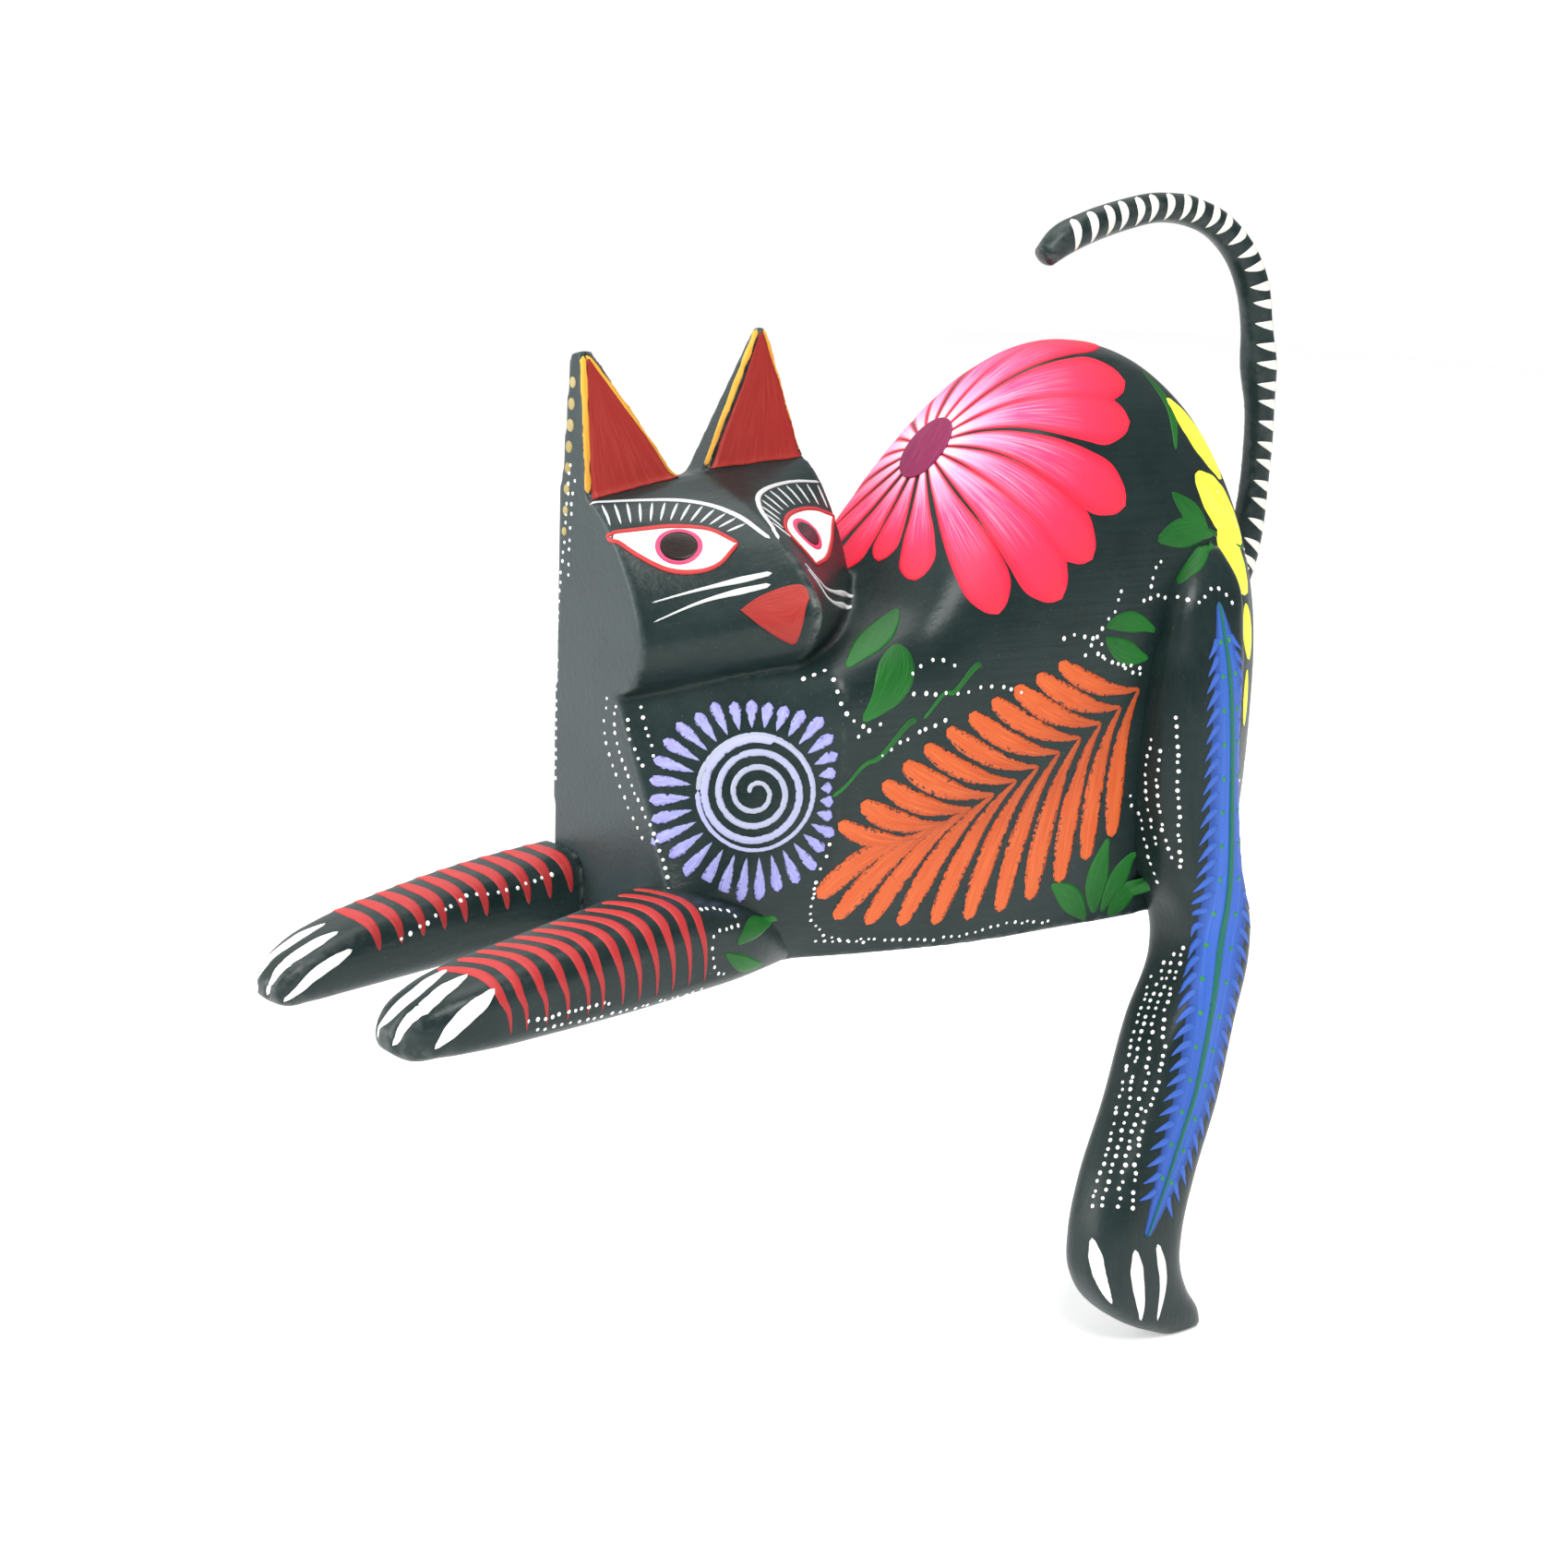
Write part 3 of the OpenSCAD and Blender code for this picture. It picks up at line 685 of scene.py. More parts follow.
class Paint:
    def __init__(self, name, mat, skin=FIGURE, rides="figure", lift=0.06):
        self.name, self.mat, self.skin, self.rides, self.lift = name, mat, skin, rides, lift
        self.v, self.f, self.a, self.k, self.n = [], [], [], 0, 0

    def grid(self, top, bot, pu, pv):
        """Closed thin shell over a grid of points."""
        m, n = top.shape[:2]
        i = np.arange(m * n).reshape(m, n) + self.k
        o = m * n
        q = [np.stack([i[:-1, :-1], i[1:, :-1], i[1:, 1:], i[:-1, 1:]], -1).reshape(-1, 4)]
        q.append((q[0] + o)[:, ::-1])
        for a in (i[0, :], i[-1, ::-1], i[::-1, 0], i[:, -1]):
            q.append(np.stack([a[:-1], a[1:], a[1:] + o, a[:-1] + o], 1))
        self.f += np.concatenate(q).tolist()
        self.v += [top.reshape(-1, 3), bot.reshape(-1, 3)]
        a = np.stack([pu.ravel(), pv.ravel(), np.full(m * n, (self.n * 0.618) % 1)], 1)
        self.a += [a, a]
        self.k += 2 * o
        self.n += 1

    def drape(self, pts, pu, pv, crown):
        """Lays a grid of points on the surface."""
        m, n = pts.shape[:2]
        top, bot = np.empty_like(pts), np.empty_like(pts)
        up = self.lift + 0.003 * (self.n % 7)
        for i in range(m):
            for j in range(n):
                p, no = self.skin.near(pts[i, j])
                top[i, j] = p + no * (up + crown * (1 - pv[i, j] ** 2))
                bot[i, j] = p - no * 0.15
        self.grid(top, bot, pu, pv)

    def stroke(self, pts, crown=0.07, step=0.8, cross=0.7):
        q = spline(pts, step)
        w = np.maximum(q[:, 3], 0.06)
        s = np.concatenate([[0], np.cumsum(np.linalg.norm(np.diff(q[:, :3], axis=0), axis=1))])
        for d, e in ((s, w[0]), (s[-1] - s, w[-1])):
            w = w * np.maximum(np.sqrt(1 - np.clip(1 - d / max(e, 0.15), 0, 1) ** 2), 0.12)
        hit = [self.skin.near(p) for p in q[:, :3]]
        P, N = np.array([h[0] for h in hit]), np.array([h[1] for h in hit])
        for _ in range(3):
            N[1:-1] = N[:-2] + N[1:-1] + N[2:]
            N /= np.linalg.norm(N, axis=1)[:, None] + 1e-12
        T = np.gradient(P, axis=0)
        S = np.cross(N, T)
        S /= np.linalg.norm(S, axis=1)[:, None] + 1e-12
        m = max(3, int(math.ceil(2 * w.max() / cross)) + 1)
        t = np.linspace(-1, 1, m)
        pts = P[:, None] + S[:, None] * (w[:, None] * t)[..., None]
        pu = np.repeat((s / s[-1])[:, None], m, 1)
        self.drape(pts, pu, np.repeat(t[None], len(P), 0), crown)

    def patch(self, a, b, rows=14, cols=26, crown=0.05):
        """Fills the space between two edges."""
        A, B = along(a, np.linspace(0, 1, cols)), along(b, np.linspace(0, 1, cols))
        t = np.linspace(0, 1, rows)
        pts = A[:, None] * (1 - t)[None, :, None] + B[:, None] * t[None, :, None]
        self.drape(pts, np.repeat(np.linspace(0, 1, cols)[:, None], rows, 1), np.repeat((t * 2 - 1)[None], cols, 0), crown)

    def disc(self, c, axis, rx, ry, rows=11):
        c, n = self.skin.near(c)
        e1 = unit(np.asarray(axis, float) - n * np.dot(axis, n))
        e2 = np.cross(n, e1)
        th = np.linspace(0.02, math.pi - 0.02, 21)
        A = c - np.cos(th)[:, None] * e1 * rx
        h = np.sin(th)[:, None] * e2 * ry
        t = np.linspace(-1, 1, rows)
        pts = A[:, None] + h[:, None] * t[None, :, None]
        self.drape(pts, np.repeat((th / math.pi)[:, None], rows, 1), np.repeat(t[None], 21, 0), 0.05)

    def dot(self, p, r):
        p, n = self.skin.near(p)
        e1 = unit(np.cross(n, [0.3, 0.2, 0.9]))
        e2 = np.cross(n, e1)
        a = 2 * math.pi * np.arange(10) / 10
        ring = np.cos(a)[:, None] * e1 + np.sin(a)[:, None] * e2
        h = min(0.28, 0.45 * r)
        sets = [p + ring * r - n * 0.15, p + ring * r + n * 0.03, p + ring * r * 0.72 + n * h * 0.7,
                p + ring * r * 0.36 + n * h * 0.95]
        v = np.vstack(sets + [[p + n * h]])
        k, i = self.k, np.arange(10)
        for j in range(3):
            self.f += np.stack([k + j * 10 + i, k + j * 10 + (i + 1) % 10, k + (j + 1) * 10 + (i + 1) % 10, k + (j + 1) * 10 + i], 1).tolist()
        self.f += [[k + 30 + a, k + 30 + (a + 1) % 10, k + 40] for a in range(10)]
        self.f.append([k + a for a in range(9, -1, -1)])
        self.v.append(v)
        at = np.zeros((41, 3))
        at[:, 0] = 0.5
        at[:, 2] = (self.n * 0.618) % 1
        self.a.append(at)
        self.k += 41
        self.n += 1

    def row(self, guide, pitch=2.0, r=0.42, wander=0.18):
        """A row of dots along a guide, a little uneven as a hand leaves it."""
        q = spline(guide, 0.8)
        L = np.linalg.norm(np.diff(q, axis=0), axis=1).sum()
        k = max(2, int(L / pitch) + 1)
        t = np.clip(np.linspace(0, 1, k) + rng.uniform(-0.12, 0.12, k) * pitch / L, 0, 1)
        for p in along(guide, t):
            self.dot(p + rng.normal(0, wander, 3), r * rng.uniform(0.8, 1.2))

    def make(self):
        if not self.v:
            return
        ob = new_object(self.name, np.concatenate(self.v), self.f)
        fix_normals(ob)
        at = np.concatenate(self.a)
        for i, key in enumerate(("pu", "pv", "pid")):
            ob.data.attributes.new(key, "FLOAT", "POINT").data.foreach_set("value", at[:, i].astype(np.float32))
        ob.data.materials.append(self.mat)
        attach(ob, self.rides)
        return ob


def pigment(name, stops, light=None, edge=None, dry=0.2, hair=0.35, rough=0.40, tip=None, fade=None):
    """Paint laid by a brush: stops run along the stroke, dry shows the ground."""
    n = Nodes(name)
    obj = n.coord()
    pu, pv, pid = n.attr("pu"), n.attr("pv"), n.attr("pid")
    side = n.math("ABSOLUTE", pv)
    c = n.new("ShaderNodeCombineXYZ")
    n.put(c.inputs[0], n.math("MULTIPLY", pu, 2.2))
    n.put(c.inputs[1], n.math("MULTIPLY", pv, 7.0))
    n.put(c.inputs[2], n.math("MULTIPLY", pid, 37.0))
    hairs = n.noise(c.outputs[0], 1.6, 3, 0.55)
    col = n.ramp(pu, *stops)
    if light:
        reach = n.math("MULTIPLY", n.ramp(hairs, (0.45, 0.0), (0.68, 1.0)), hair)
        if fade:
            reach = n.math("MULTIPLY", reach, n.ramp(pu, (0.0, 1.0), (fade, 0.0)))
        col = n.mix(reach, col, light)
    if edge:
        col = n.mix(n.ramp(side, (0.5, 0.0), (0.92, 1.0)), col, edge)
    grain = n.noise(obj, 1300, 3, 0.65)
    m = n.math("ADD", n.math("MULTIPLY", side, 0.30), n.math("ADD", n.math("MULTIPLY", hairs, 0.45), n.math("MULTIPLY", grain, 0.55)))
    if tip:
        m = n.math("ADD", m, n.ramp(pu, *tip))
    lo = 1.06 - 0.5 * dry
    bare = n.ramp(m, (min(lo, 0.97), 0.0), (min(lo + 0.03, 1.0), 1.0))
    col = n.mix(bare, col, (0.024, 0.030, 0.032))
    n.bump(n.math("ADD", hairs, n.math("MULTIPLY", grain, 0.5)), 0.22, 0.00012)
    return n.done(col, n.math("MULTIPLY_ADD", grain, 0.12, rough))


PINK, CORAL = (1.0, 0.13, 0.29), (1.0, 0.13, 0.16)
petal = Paint("daisy_petals", pigment("petal_paint", ((0.0, (1, 0.66, 0.80)), (0.16, (1, 0.30, 0.50)), (0.38, (0.98, 0.055, 0.20)), (0.7, (0.95, 0.035, 0.10)), (1.0, (0.92, 0.030, 0.055))),
              light=(1, 0.66, 0.76), edge=(0.90, 0.020, 0.055), dry=0.10, hair=0.75, rough=0.5, fade=0.72))
eye_of_daisy = Paint("daisy_middle", pigment("daisy_middle_paint", ((0, (0.22, 0.014, 0.075)), (1, (0.18, 0.012, 0.06))), light=(0.36, 0.05, 0.14), dry=0.3), lift=0.42)
yellow = Paint("yellow_sprigs", pigment("yellow_paint", ((0, (0.99, 0.95, 0.05)), (1, (0.95, 0.99, 0.07))), light=(1, 1, 0.3), dry=0.1), lift=0.10)
leaf = Paint("leaves", pigment("leaf_paint", ((0, (0.008, 0.085, 0.013)), (1, (0.014, 0.14, 0.020))), light=(0.03, 0.22, 0.035), dry=0.15))
fern = Paint("fern", pigment("fern_paint", ((0, (0.62, 0.105, 0.022)), (0.5, (0.56, 0.085, 0.018)), (1, (0.34, 0.050, 0.014))),
             light=(0.80, 0.22, 0.07), dry=0.58, hair=0.5))
white = Paint("white_dots", pigment("white_paint", ((0, (0.86, 0.87, 0.84)), (1, (0.92, 0.92, 0.90))), light=(0.7, 0.71, 0.68), dry=0.0), lift=0.12)
cream = Paint("claws", pigment("claw_paint", ((0, (0.82, 0.82, 0.78)), (1, (0.97, 0.97, 0.95))), light=(0.7, 0.7, 0.66), dry=0.2))
sun = Paint("sun_rays", pigment("ray_paint", ((0, (0.24, 0.25, 0.50)), (0.6, (0.27, 0.27, 0.62)), (1, (0.26, 0.24, 0.66))), light=(0.60, 0.62, 0.80), dry=0.60, hair=0.6), lift=0.06)
coil = Paint("sun_coil", pigment("coil_paint", ((0, (0.34, 0.37, 0.46)), (0.6, (0.34, 0.36, 0.54)), (1, (0.36, 0.37, 0.62))), light=(0.62, 0.64, 0.76), dry=0.55, hair=0.6), lift=0.08)
stripe = Paint("leg_stripes", pigment("stripe_paint", ((0, (0.46, 0.030, 0.028)), (0.7, (0.40, 0.026, 0.028)), (1, (0.26, 0.018, 0.022))), light=(0.62, 0.10, 0.09), dry=0.35))
blue = Paint("feather", pigment("feather_paint", ((0, (0.035, 0.11, 0.44)), (0.5, (0.040, 0.12, 0.50)), (1, (0.035, 0.10, 0.42))), light=(0.09, 0.22, 0.62), edge=(0.022, 0.065, 0.27), dry=0.25))
teal = Paint("feather_quill", pigment("quill_paint", ((0, (0.012, 0.14, 0.09)), (1, (0.010, 0.12, 0.10))), light=(0.05, 0.25, 0.16), dry=0.3), lift=0.40)
lime = Paint("feather_dots", pigment("dot_green_paint", ((0, (0.020, 0.22, 0.06)), (1, (0.025, 0.24, 0.07))), light=(0.08, 0.38, 0.10), dry=0.0), lift=0.42)
red = Paint("ears_and_mouth", pigment("dark_red_paint", ((0, (0.28, 0.020, 0.016)), (1, (0.33, 0.026, 0.020))), light=(0.42, 0.06, 0.045), dry=0.12), lift=0.28)
gold = Paint("gold_lines", pigment("gold_paint", ((0, (0.74, 0.36, 0.035)), (1, (0.50, 0.22, 0.02))), light=(0.95, 0.62, 0.12), dry=0.45, hair=0.6), lift=0.22)
ivory = Paint("gold_dots", pigment("ochre_paint", ((0, (0.30, 0.235, 0.075)), (1, (0.28, 0.22, 0.07))), light=(0.7, 0.6, 0.35), dry=0.1), lift=0.1)
line = Paint("face_lines", pigment("line_paint", ((0, (0.52, 0.55, 0.55)), (1, (0.62, 0.64, 0.64))), light=(0.8, 0.8, 0.78), dry=0.25), lift=0.10)
eye_white = Paint("eye_whites", pigment("eye_white_paint", ((0, (0.93, 0.92, 0.90)), (1, (0.93, 0.92, 0.90))), light=(0.82, 0.80, 0.78), dry=0.0), lift=0.08)
eye_ring = Paint("eye_rings", pigment("eye_ring_paint", ((0, (0.72, 0.045, 0.14)), (1, (0.72, 0.045, 0.14))), light=(0.88, 0.2, 0.28), dry=0.0), lift=0.16)
pupil = Paint("pupils", pigment("pupil_paint", ((0, (0.012, 0.007, 0.006)), (1, (0.016, 0.009, 0.007))), light=(0.04, 0.025, 0.02), dry=0.0, rough=0.16), lift=0.24)
rim = Paint("eye_rims", pigment("eye_rim_paint", ((0, (0.46, 0.030, 0.030)), (1, (0.42, 0.028, 0.028))), light=(0.66, 0.12, 0.12), dry=0.1), lift=0.26)
rings = Paint("tail_crescents", pigment("crescent_paint", ((0, (0.72, 0.73, 0.65)), (1, (0.80, 0.80, 0.72))), light=(0.9, 0.9, 0.84), dry=0.35), skin=BRANCH, rides="tail")


def thick(guide, widths, n=9):
    """A stroke's control points: a guide with widths spread along it."""
    t = np.linspace(0, 1, n)
    return np.column_stack([along(guide, t), np.interp(t, np.linspace(0, 1, len(widths)), widths)])


def flip(guide):
    return [[x, -y, z] for x, y, z in guide]


# The daisy lies over the hump
DAISY = np.array([4.0, 0.5, 93.5])
c, n = FIGURE.near(DAISY)
east = unit(np.array([1.0, 0, 0]) - n * n[0])
south = np.cross(east, n)
if south[1] > 0:
    south = -south
for k in range(18):
    phi = math.radians(20 * k + 10)
    d = east * math.cos(phi) + south * math.sin(phi)
    back = max(0.0, -math.cos(phi))
    length = 47 - 19 * back ** 3 + rng.uniform(-2.5, 2.5)
    path = march(c + d * 5, d, length - 5, turn=rng.uniform(-0.25, 0.25))
    u = np.linspace(0, 1, 8)
    w = np.interp(u, [0, 0.2, 0.4, 0.6, 0.8, 0.93, 1], [0.13, 0.34, 0.58, 0.82, 1, 0.86, 0.34])
    i = np.round(u * (len(path) - 1)).astype(int)
    petal.stroke(np.column_stack([path[i], w * rng.uniform(5.7, 6.5) * length / 47]), crown=0.12)
eye_of_daisy.disc(c, east, 7.2, 5.6, rows=17)


def sheath(a, b, w, bend=(0, 0, 0)):
    """One leaf from a to b."""
    a, b = np.asarray(a, float), np.asarray(b, float)
    u = np.linspace(0, 1, 6)
    p = a + (b - a) * u[:, None] + np.asarray(bend, float) * (4 * u * (1 - u))[:, None]
    leaf.stroke(np.column_stack([p, np.array([0.18, 0.7, 1, 0.92, 0.55, 0.15]) * w]))


for side in (1, -1):
    g = lambda pts: [[x, y * side, z] for x, y, z in pts]
    m = lambda p: [p[0], p[1] * side, p[2]]
    # Yellow drops and leaves down the rump
    for a, b, w in (([51, -16, 103], [65, -19, 87], 4.2), ([54, -23, 89], [70, -21, 74], 5.2), ([60, -26, 78], [71, -23, 64], 4.4),
                    ([70, -24, 62], [73, -24, 50], 2.6), ([72, -24, 48], [73, -24, 36], 1.3)):
        yellow.stroke(thick(g([a, b]), [0.25 * w, 0.8 * w, w, 0.8 * w, 0.3 * w]))
    leaf.stroke(thick(g([[48, -12, 108], [51, -17, 102], [49, -22, 94]]), [0.5, 1.6, 1.2, 0.4]))
    for a, b, w, bend in (([46, -25, 86], [57, -28, 78], 2.5, (1, 0, -1)), ([41, -27, 77], [58, -25, 77], 3, (0, 0, 1)),
                          ([46, -29, 68], [57, -27, 76], 2.8, (-1, 0, 1)), ([27, -28, 61], [41, -28, 59], 2.1, (0, 0, 1.5)),
                          ([27, -29, 59], [39, -29, 54], 2.4, (0, 0, -1)), ([-16, -17, 66], [-33, -24, 57], 3.2, (0, 0, 1)),
                          ([-21, -24, 61], [-32, -28, 48], 4.1, (2, 0, 0)), ([55, -26, 79], [72, -21, 73], 0.8, (0, 0, -1)),
                          ([29, -26, 1], [18, -27, 10], 2.6, (0, 0, 1)), ([31, -26, 2], [32, -28, 18], 3, (-1, 0, 0)),
                          ([33, -26, 2], [40, -28, 14], 2.6, (0, 0, 1)), ([35, -26, 1], [43, -30, 8], 2.6, (0, 0, 0))):
        sheath(m(a), m(b), w, bend)
    for a, b in (([-4, -28, 56], [-17, -28, 48]), ([-19, -28, 47], [-37, -27, 35])):
        t = np.linspace(0, 1, 13)[:, None]
        wave = np.array(m(a)) + (np.array(m(b)) - np.array(m(a))) * t + np.array([0.5, 0, 1.0]) * np.sin(t * 11)
        leaf.stroke(np.column_stack([wave, 0.7 - 0.4 * t]), cross=0.4)
    # Fern along the flank: leaflets from two outer guides to the midrib
    mid = g([[37, -29, 48], [31, -29, 44], [14, -29, 36], [-3, -28, 29], [-15, -27, 24]])
    upper = g([[15, -29, 55], [-4, -28, 48], [-20, -28, 40], [-36, -27, 29]])
    lower = g([[33, -28, 18], [15, -27, 8], [-8, -25, 5], [-30, -22, 8], [-37, -23, 14]])
    if side < 0:
        mid, upper, lower = ([[x * 0.84 - 5, y, z] for x, y, z in q] for q in (mid, upper, lower))
    for k in range(11):
        t = k / 10
        for guide, bend, w in ((upper, (0.5, 0, -2.2), 2.05), (lower, (-2.2, 0, 2.6), 2.55)):
            a, b = along(guide, t)[0], along(mid, t)[0]
            u = np.linspace(0, 1, 7)
            p = a + (b - a) * u[:, None] + np.array(bend) * (4 * u * (1 - u))[:, None]
            w2 = w * rng.uniform(0.9, 1.1)
            fern.stroke(np.column_stack([p, np.array([0.6, 0.95, 1, 0.88, 0.62, 0.38, 0.16]) * w2]), crown=0.05)
    # Rows of dots
    for guide, pitch, r in (
            ([[-34, -19, 4], [-21, -22, 3], [-6, -24, 2], [9, -26, 3], [19, -26, 2]], 1.8, 0.33),
            ([[-37, -26, 25], [-38, -24, 19], [-38, -23, 15]], 2.2, 0.36), ([[-27, -28, 41], [-20, -28, 44], [-12, -28, 46]], 2.2, 0.42),
            ([[-33, -28, 45], [-28, -28, 47]], 2.2, 0.4), ([[-20, -28, 52], [-10, -28, 51], [-1, -28, 52], [6, -29, 50]], 2.6, 0.42),
            ([[16, -29, 60], [25, -29, 59], [27, -29, 55], [37, -29, 52]], 2.6, 0.42),
            ([[31, -28, 68], [30, -28, 65], [26, -29, 61], [22, -29, 56]], 2, 0.42), ([[25, -29, 56], [32, -29, 53], [37, -29, 51]], 2, 0.42),
            ([[37, -28, 66], [44, -29, 66], [47, -33, 65], [52, -33, 68], [56, -34, 65]], 2, 0.42), ([[42, -28, 73], [40, -28, 71], [39, -28, 68]], 2, 0.4),
            ([[-40, -20, 55], [-36, -23, 56], [-36, -28, 50], [-30, -28, 46]], 2.2, 0.42),
            ([[-38, -23, 16], [-37, -21, 10], [-32, -20, 5], [-24, -21, 3]], 1.8, 0.33),
            ([[-20, -28, 56], [-15, -28, 58], [-10, -28, 56]], 2.4, 0.38), ([[60, -25, 88], [68, -23, 80], [74, -19, 68]], 2.6, 0.4),
            ([[78, -15, 66], [80, -13, 54], [81, -11, 42]], 2.8, 0.4), ([[76, -18, 30], [70, -22, 20], [62, -24, 12]], 3, 0.38)):
        white.row(g(guide), pitch, r)

# Right thigh and foot, out of the photographed side, follow the left ones
for x0 in (36, 39, 42):
    white.row([[x0, 37, 50], [x0 + 1, 38, 32], [x0 + 2, 38, 14]], 2.4, 0.42)
blue.stroke(thick([[50, 34, 62], [52, 38, 45], [52, 38, 25], [50, 37, 6]], [0.5, 3.6, 4.6, 4.4, 1.0]), crown=0.05)
teal.stroke(thick([[50, 34, 60], [52, 38, 45], [52, 38, 25], [50, 37, 8]], [0.2, 0.7, 0.9, 0.5]))
for a, b in (([8, 27, 9], [2, 27, 3]), ([8, 31, 10], [1.5, 31, 3]), ([8, 35, 9], [2.5, 34, 3])):
    cream.stroke(thick([a, np.mean([a, b], 0) + [-0.6, 0, 0.5], b], [0.8, 1.3, 0.4]))
for k in range(5):
    x = 13 + 4.2 * k
    stripe.stroke(thick([[x - 1, 29, 11.5], [x, 34, 11.5], [x + 1, 38, 8], [x + 2, 38.5, 3]], [1.1, 1.5, 1, 0.2]))

# Feather down the left thigh and shank
QUILL = [[52, -34, 65], [54, -38, 45], [54, -39, 22], [52, -41, 0], [44, -46, -28], [36, -49, -43], [27, -51, -58]]
blue.stroke(thick(QUILL, [0.6, 4.2, 6.2, 6.6, 6.8, 6.8, 6.2, 5.2, 3.6, 0.8], 18), crown=0.05)
teal.stroke(thick(QUILL, [0.2, 0.5, 0.65, 0.65, 0.6, 0.4, 0.15], 14), cross=0.4)
for k in range(34):
    t = 0.06 + 0.0265 * k
    p, q = along(QUILL, [t, min(1, t + 0.02)])
    _, no = FIGURE.near(p)
    s = unit(np.cross(no, q - p))
    fall = unit(q - p)
    w = np.interp(t, [0, 0.12, 0.3, 0.6, 0.85, 1], [1, 4.6, 6.4, 6.6, 4.4, 1.4])
    if k % 2 == 0 and t < 0.93:
        lime.dot(p + s * w * 0.42, 0.62)
        lime.dot(p - s * w * 0.42, 0.62)
    for sgn in (1, -1):
        blue.stroke(np.column_stack([np.array([p + s * sgn * w * 0.6 - fall, p + s * sgn * w + fall * 0.6, p + s * sgn * (w + 2.4) + fall * 2.8]), [1.0, 0.72, 0.10]]))
for k, (a, b, c2) in enumerate((([41, -36, 43], [41, -38, 25], [43, -38, 13]), ([39, -34, 36], [39, -34, 28], [41, -37, 15]),
                                ([38, -32, 38], [39, -31, 30], [40, -34, 17]), ([37, -29, 26], [40, -31, 17], [42, -33, 9]))):
    white.row([a, b, c2], 1.7, 0.40)
for k in range(4):
    f = k / 3
    white.row([[43 + 4 * f - 3 * (k == 0), -32 - 5 * f, -10 + 5 * f], [36 + 5 * f, -35 - 4 * f, -20 + 6 * f], [29 + 6 * f, -39 - 5 * f, -34 + 6 * f],
               [24 + 4 * f, -42 - 5 * f, -43 + 5 * f], [18 + 6 * f, -44 - 5 * f, -52]], 1.7, 0.42)
for a, b, c2, w in (([18, -46, -58], [18, -48, -64], [21, -49, -71], 1.6), ([24, -51, -60], [25, -52, -67], [28, -50, -76], 1.6), ([30, -52, -60], [32, -52, -68], [32, -51, -77], 1.1)):
    cream.stroke(thick([a, b, c2], [0.5, w, w * 0.9, w * 0.6, 0.2]))

# Stripes and claws of the forelegs
for k in range(12):
    x = -114 + 4.1 * k
    yc, hw, zb, zt = table(LEFT_FORE, x)
    j = rng.uniform(-0.5, 0.5)
    stripe.stroke(thick([[x - 3, yc + 5, zt], [x, yc - 2, zt + 0.3], [x + 1.6 + j, yc - hw + 0.6, zt - 3.5], [x + 2.8 + j, yc - hw, zt * 0.55], [x + 3.2 + j, yc - hw, 3.5]],
                        [0.8, 1.15, 1.1, 0.62, 0.12], 11), cross=0.5)
for k in range(10):
    x = -115 + 5.0 * k
    yc, hw, zb, zt = table(RIGHT_FORE, x)
    stripe.stroke(thick([[x, yc + 6, zt - 0.5], [x + 0.5, yc, zt + 0.3], [x + 1, yc - 5, zt - 0.5], [x + 2, yc - hw, zt * 0.6]], [0.8, 1.5, 1.4, 0.3], 9), cross=0.5)
    stripe.stroke(thick([[x, yc + 6.5, zt - 0.8], [x + 1, yc + hw, zt * 0.7], [x + 2.4, yc + hw, zt * 0.3]], [1.2, 1.3, 0.2], 7))
for a, b, c2, w in (([-113, -34, 11], [-119, -35, 8], [-124, -34, 3], 1.5), ([-115, -29, 13], [-124, -31, 8], [-129, -29, 3], 1.8),
                    ([-116, -24, 13], [-125, -26, 8], [-130, -24, 3], 1.8), ([-120, 13, 12], [-129, 12, 7], [-134, 10, 2.5], 1.4),
                    ([-120, 8, 11.5], [-129, 7, 7], [-134, 7, 2.5], 1.4), ([-119, 4.6, 9], [-127, 4, 6], [-132, 5, 2], 1.1)):
    cream.stroke(thick([a, b, c2], [0.4, w * 0.9, w, w * 0.8, 0.25]))
for guide, pitch, r in (([[-107, -35, 5], [-99, -35, 5], [-89, -33, 5]], 1.6, 0.38), ([[-105, -35, 3], [-91, -34, 2], [-78, -30, 2], [-66, -27, 2]], 1.9, 0.36),
                        ([[-57, -26, 12], [-64, -28, 12], [-64, -28, 6], [-61, -27, 4]], 1.8, 0.36), ([[-108, 6, 9], [-98, 9, 12], [-93, 11, 13], [-85, 12, 13], [-72, 14, 14]], 2.1, 0.42),
                        ([[-110, 20, 7], [-95, 26, 8], [-75, 30, 9]], 2.4, 0.4), ([[-66, -26, 16], [-58, -24, 14], [-57, -26, 12]], 1.8, 0.4)):
    white.row(guide, pitch, r)
sheath([-58, -26, 9], [-44, -20, 10], 2.1, (0, 0, 1))
sheath([-61, -28, 8], [-49, -22, 3], 1.6, (0, 0, -1))

# Spiral sun on the slanted facet of the chest
SUN = np.array([-49.2, -19.1, 34.5])
SN = unit(np.array([-0.60, -0.79, 0.13]))
S1 = unit(np.cross(SN, [0, 0, 1]))
S2 = np.cross(S1, SN)
th = np.radians(np.arange(0, 1200, 22.0))
r = 0.9 + 9.2 * (np.degrees(th) / 1180) ** 0.9
coil.stroke(np.column_stack([SUN + (np.cos(th) * r)[:, None] * S1 + (np.sin(th) * r)[:, None] * S2, 0.42 + 0.34 * th / th[-1]]), crown=0.05, step=0.7, cross=0.4)
th = np.linspace(0, 2 * math.pi, 40)
coil.stroke(np.column_stack([SUN + (np.cos(th) * 10.6)[:, None] * S1 + (np.sin(th) * 10.6)[:, None] * S2, 0.5 + 0.12 * np.sin(th)]), crown=0.05, step=0.7, cross=0.4)
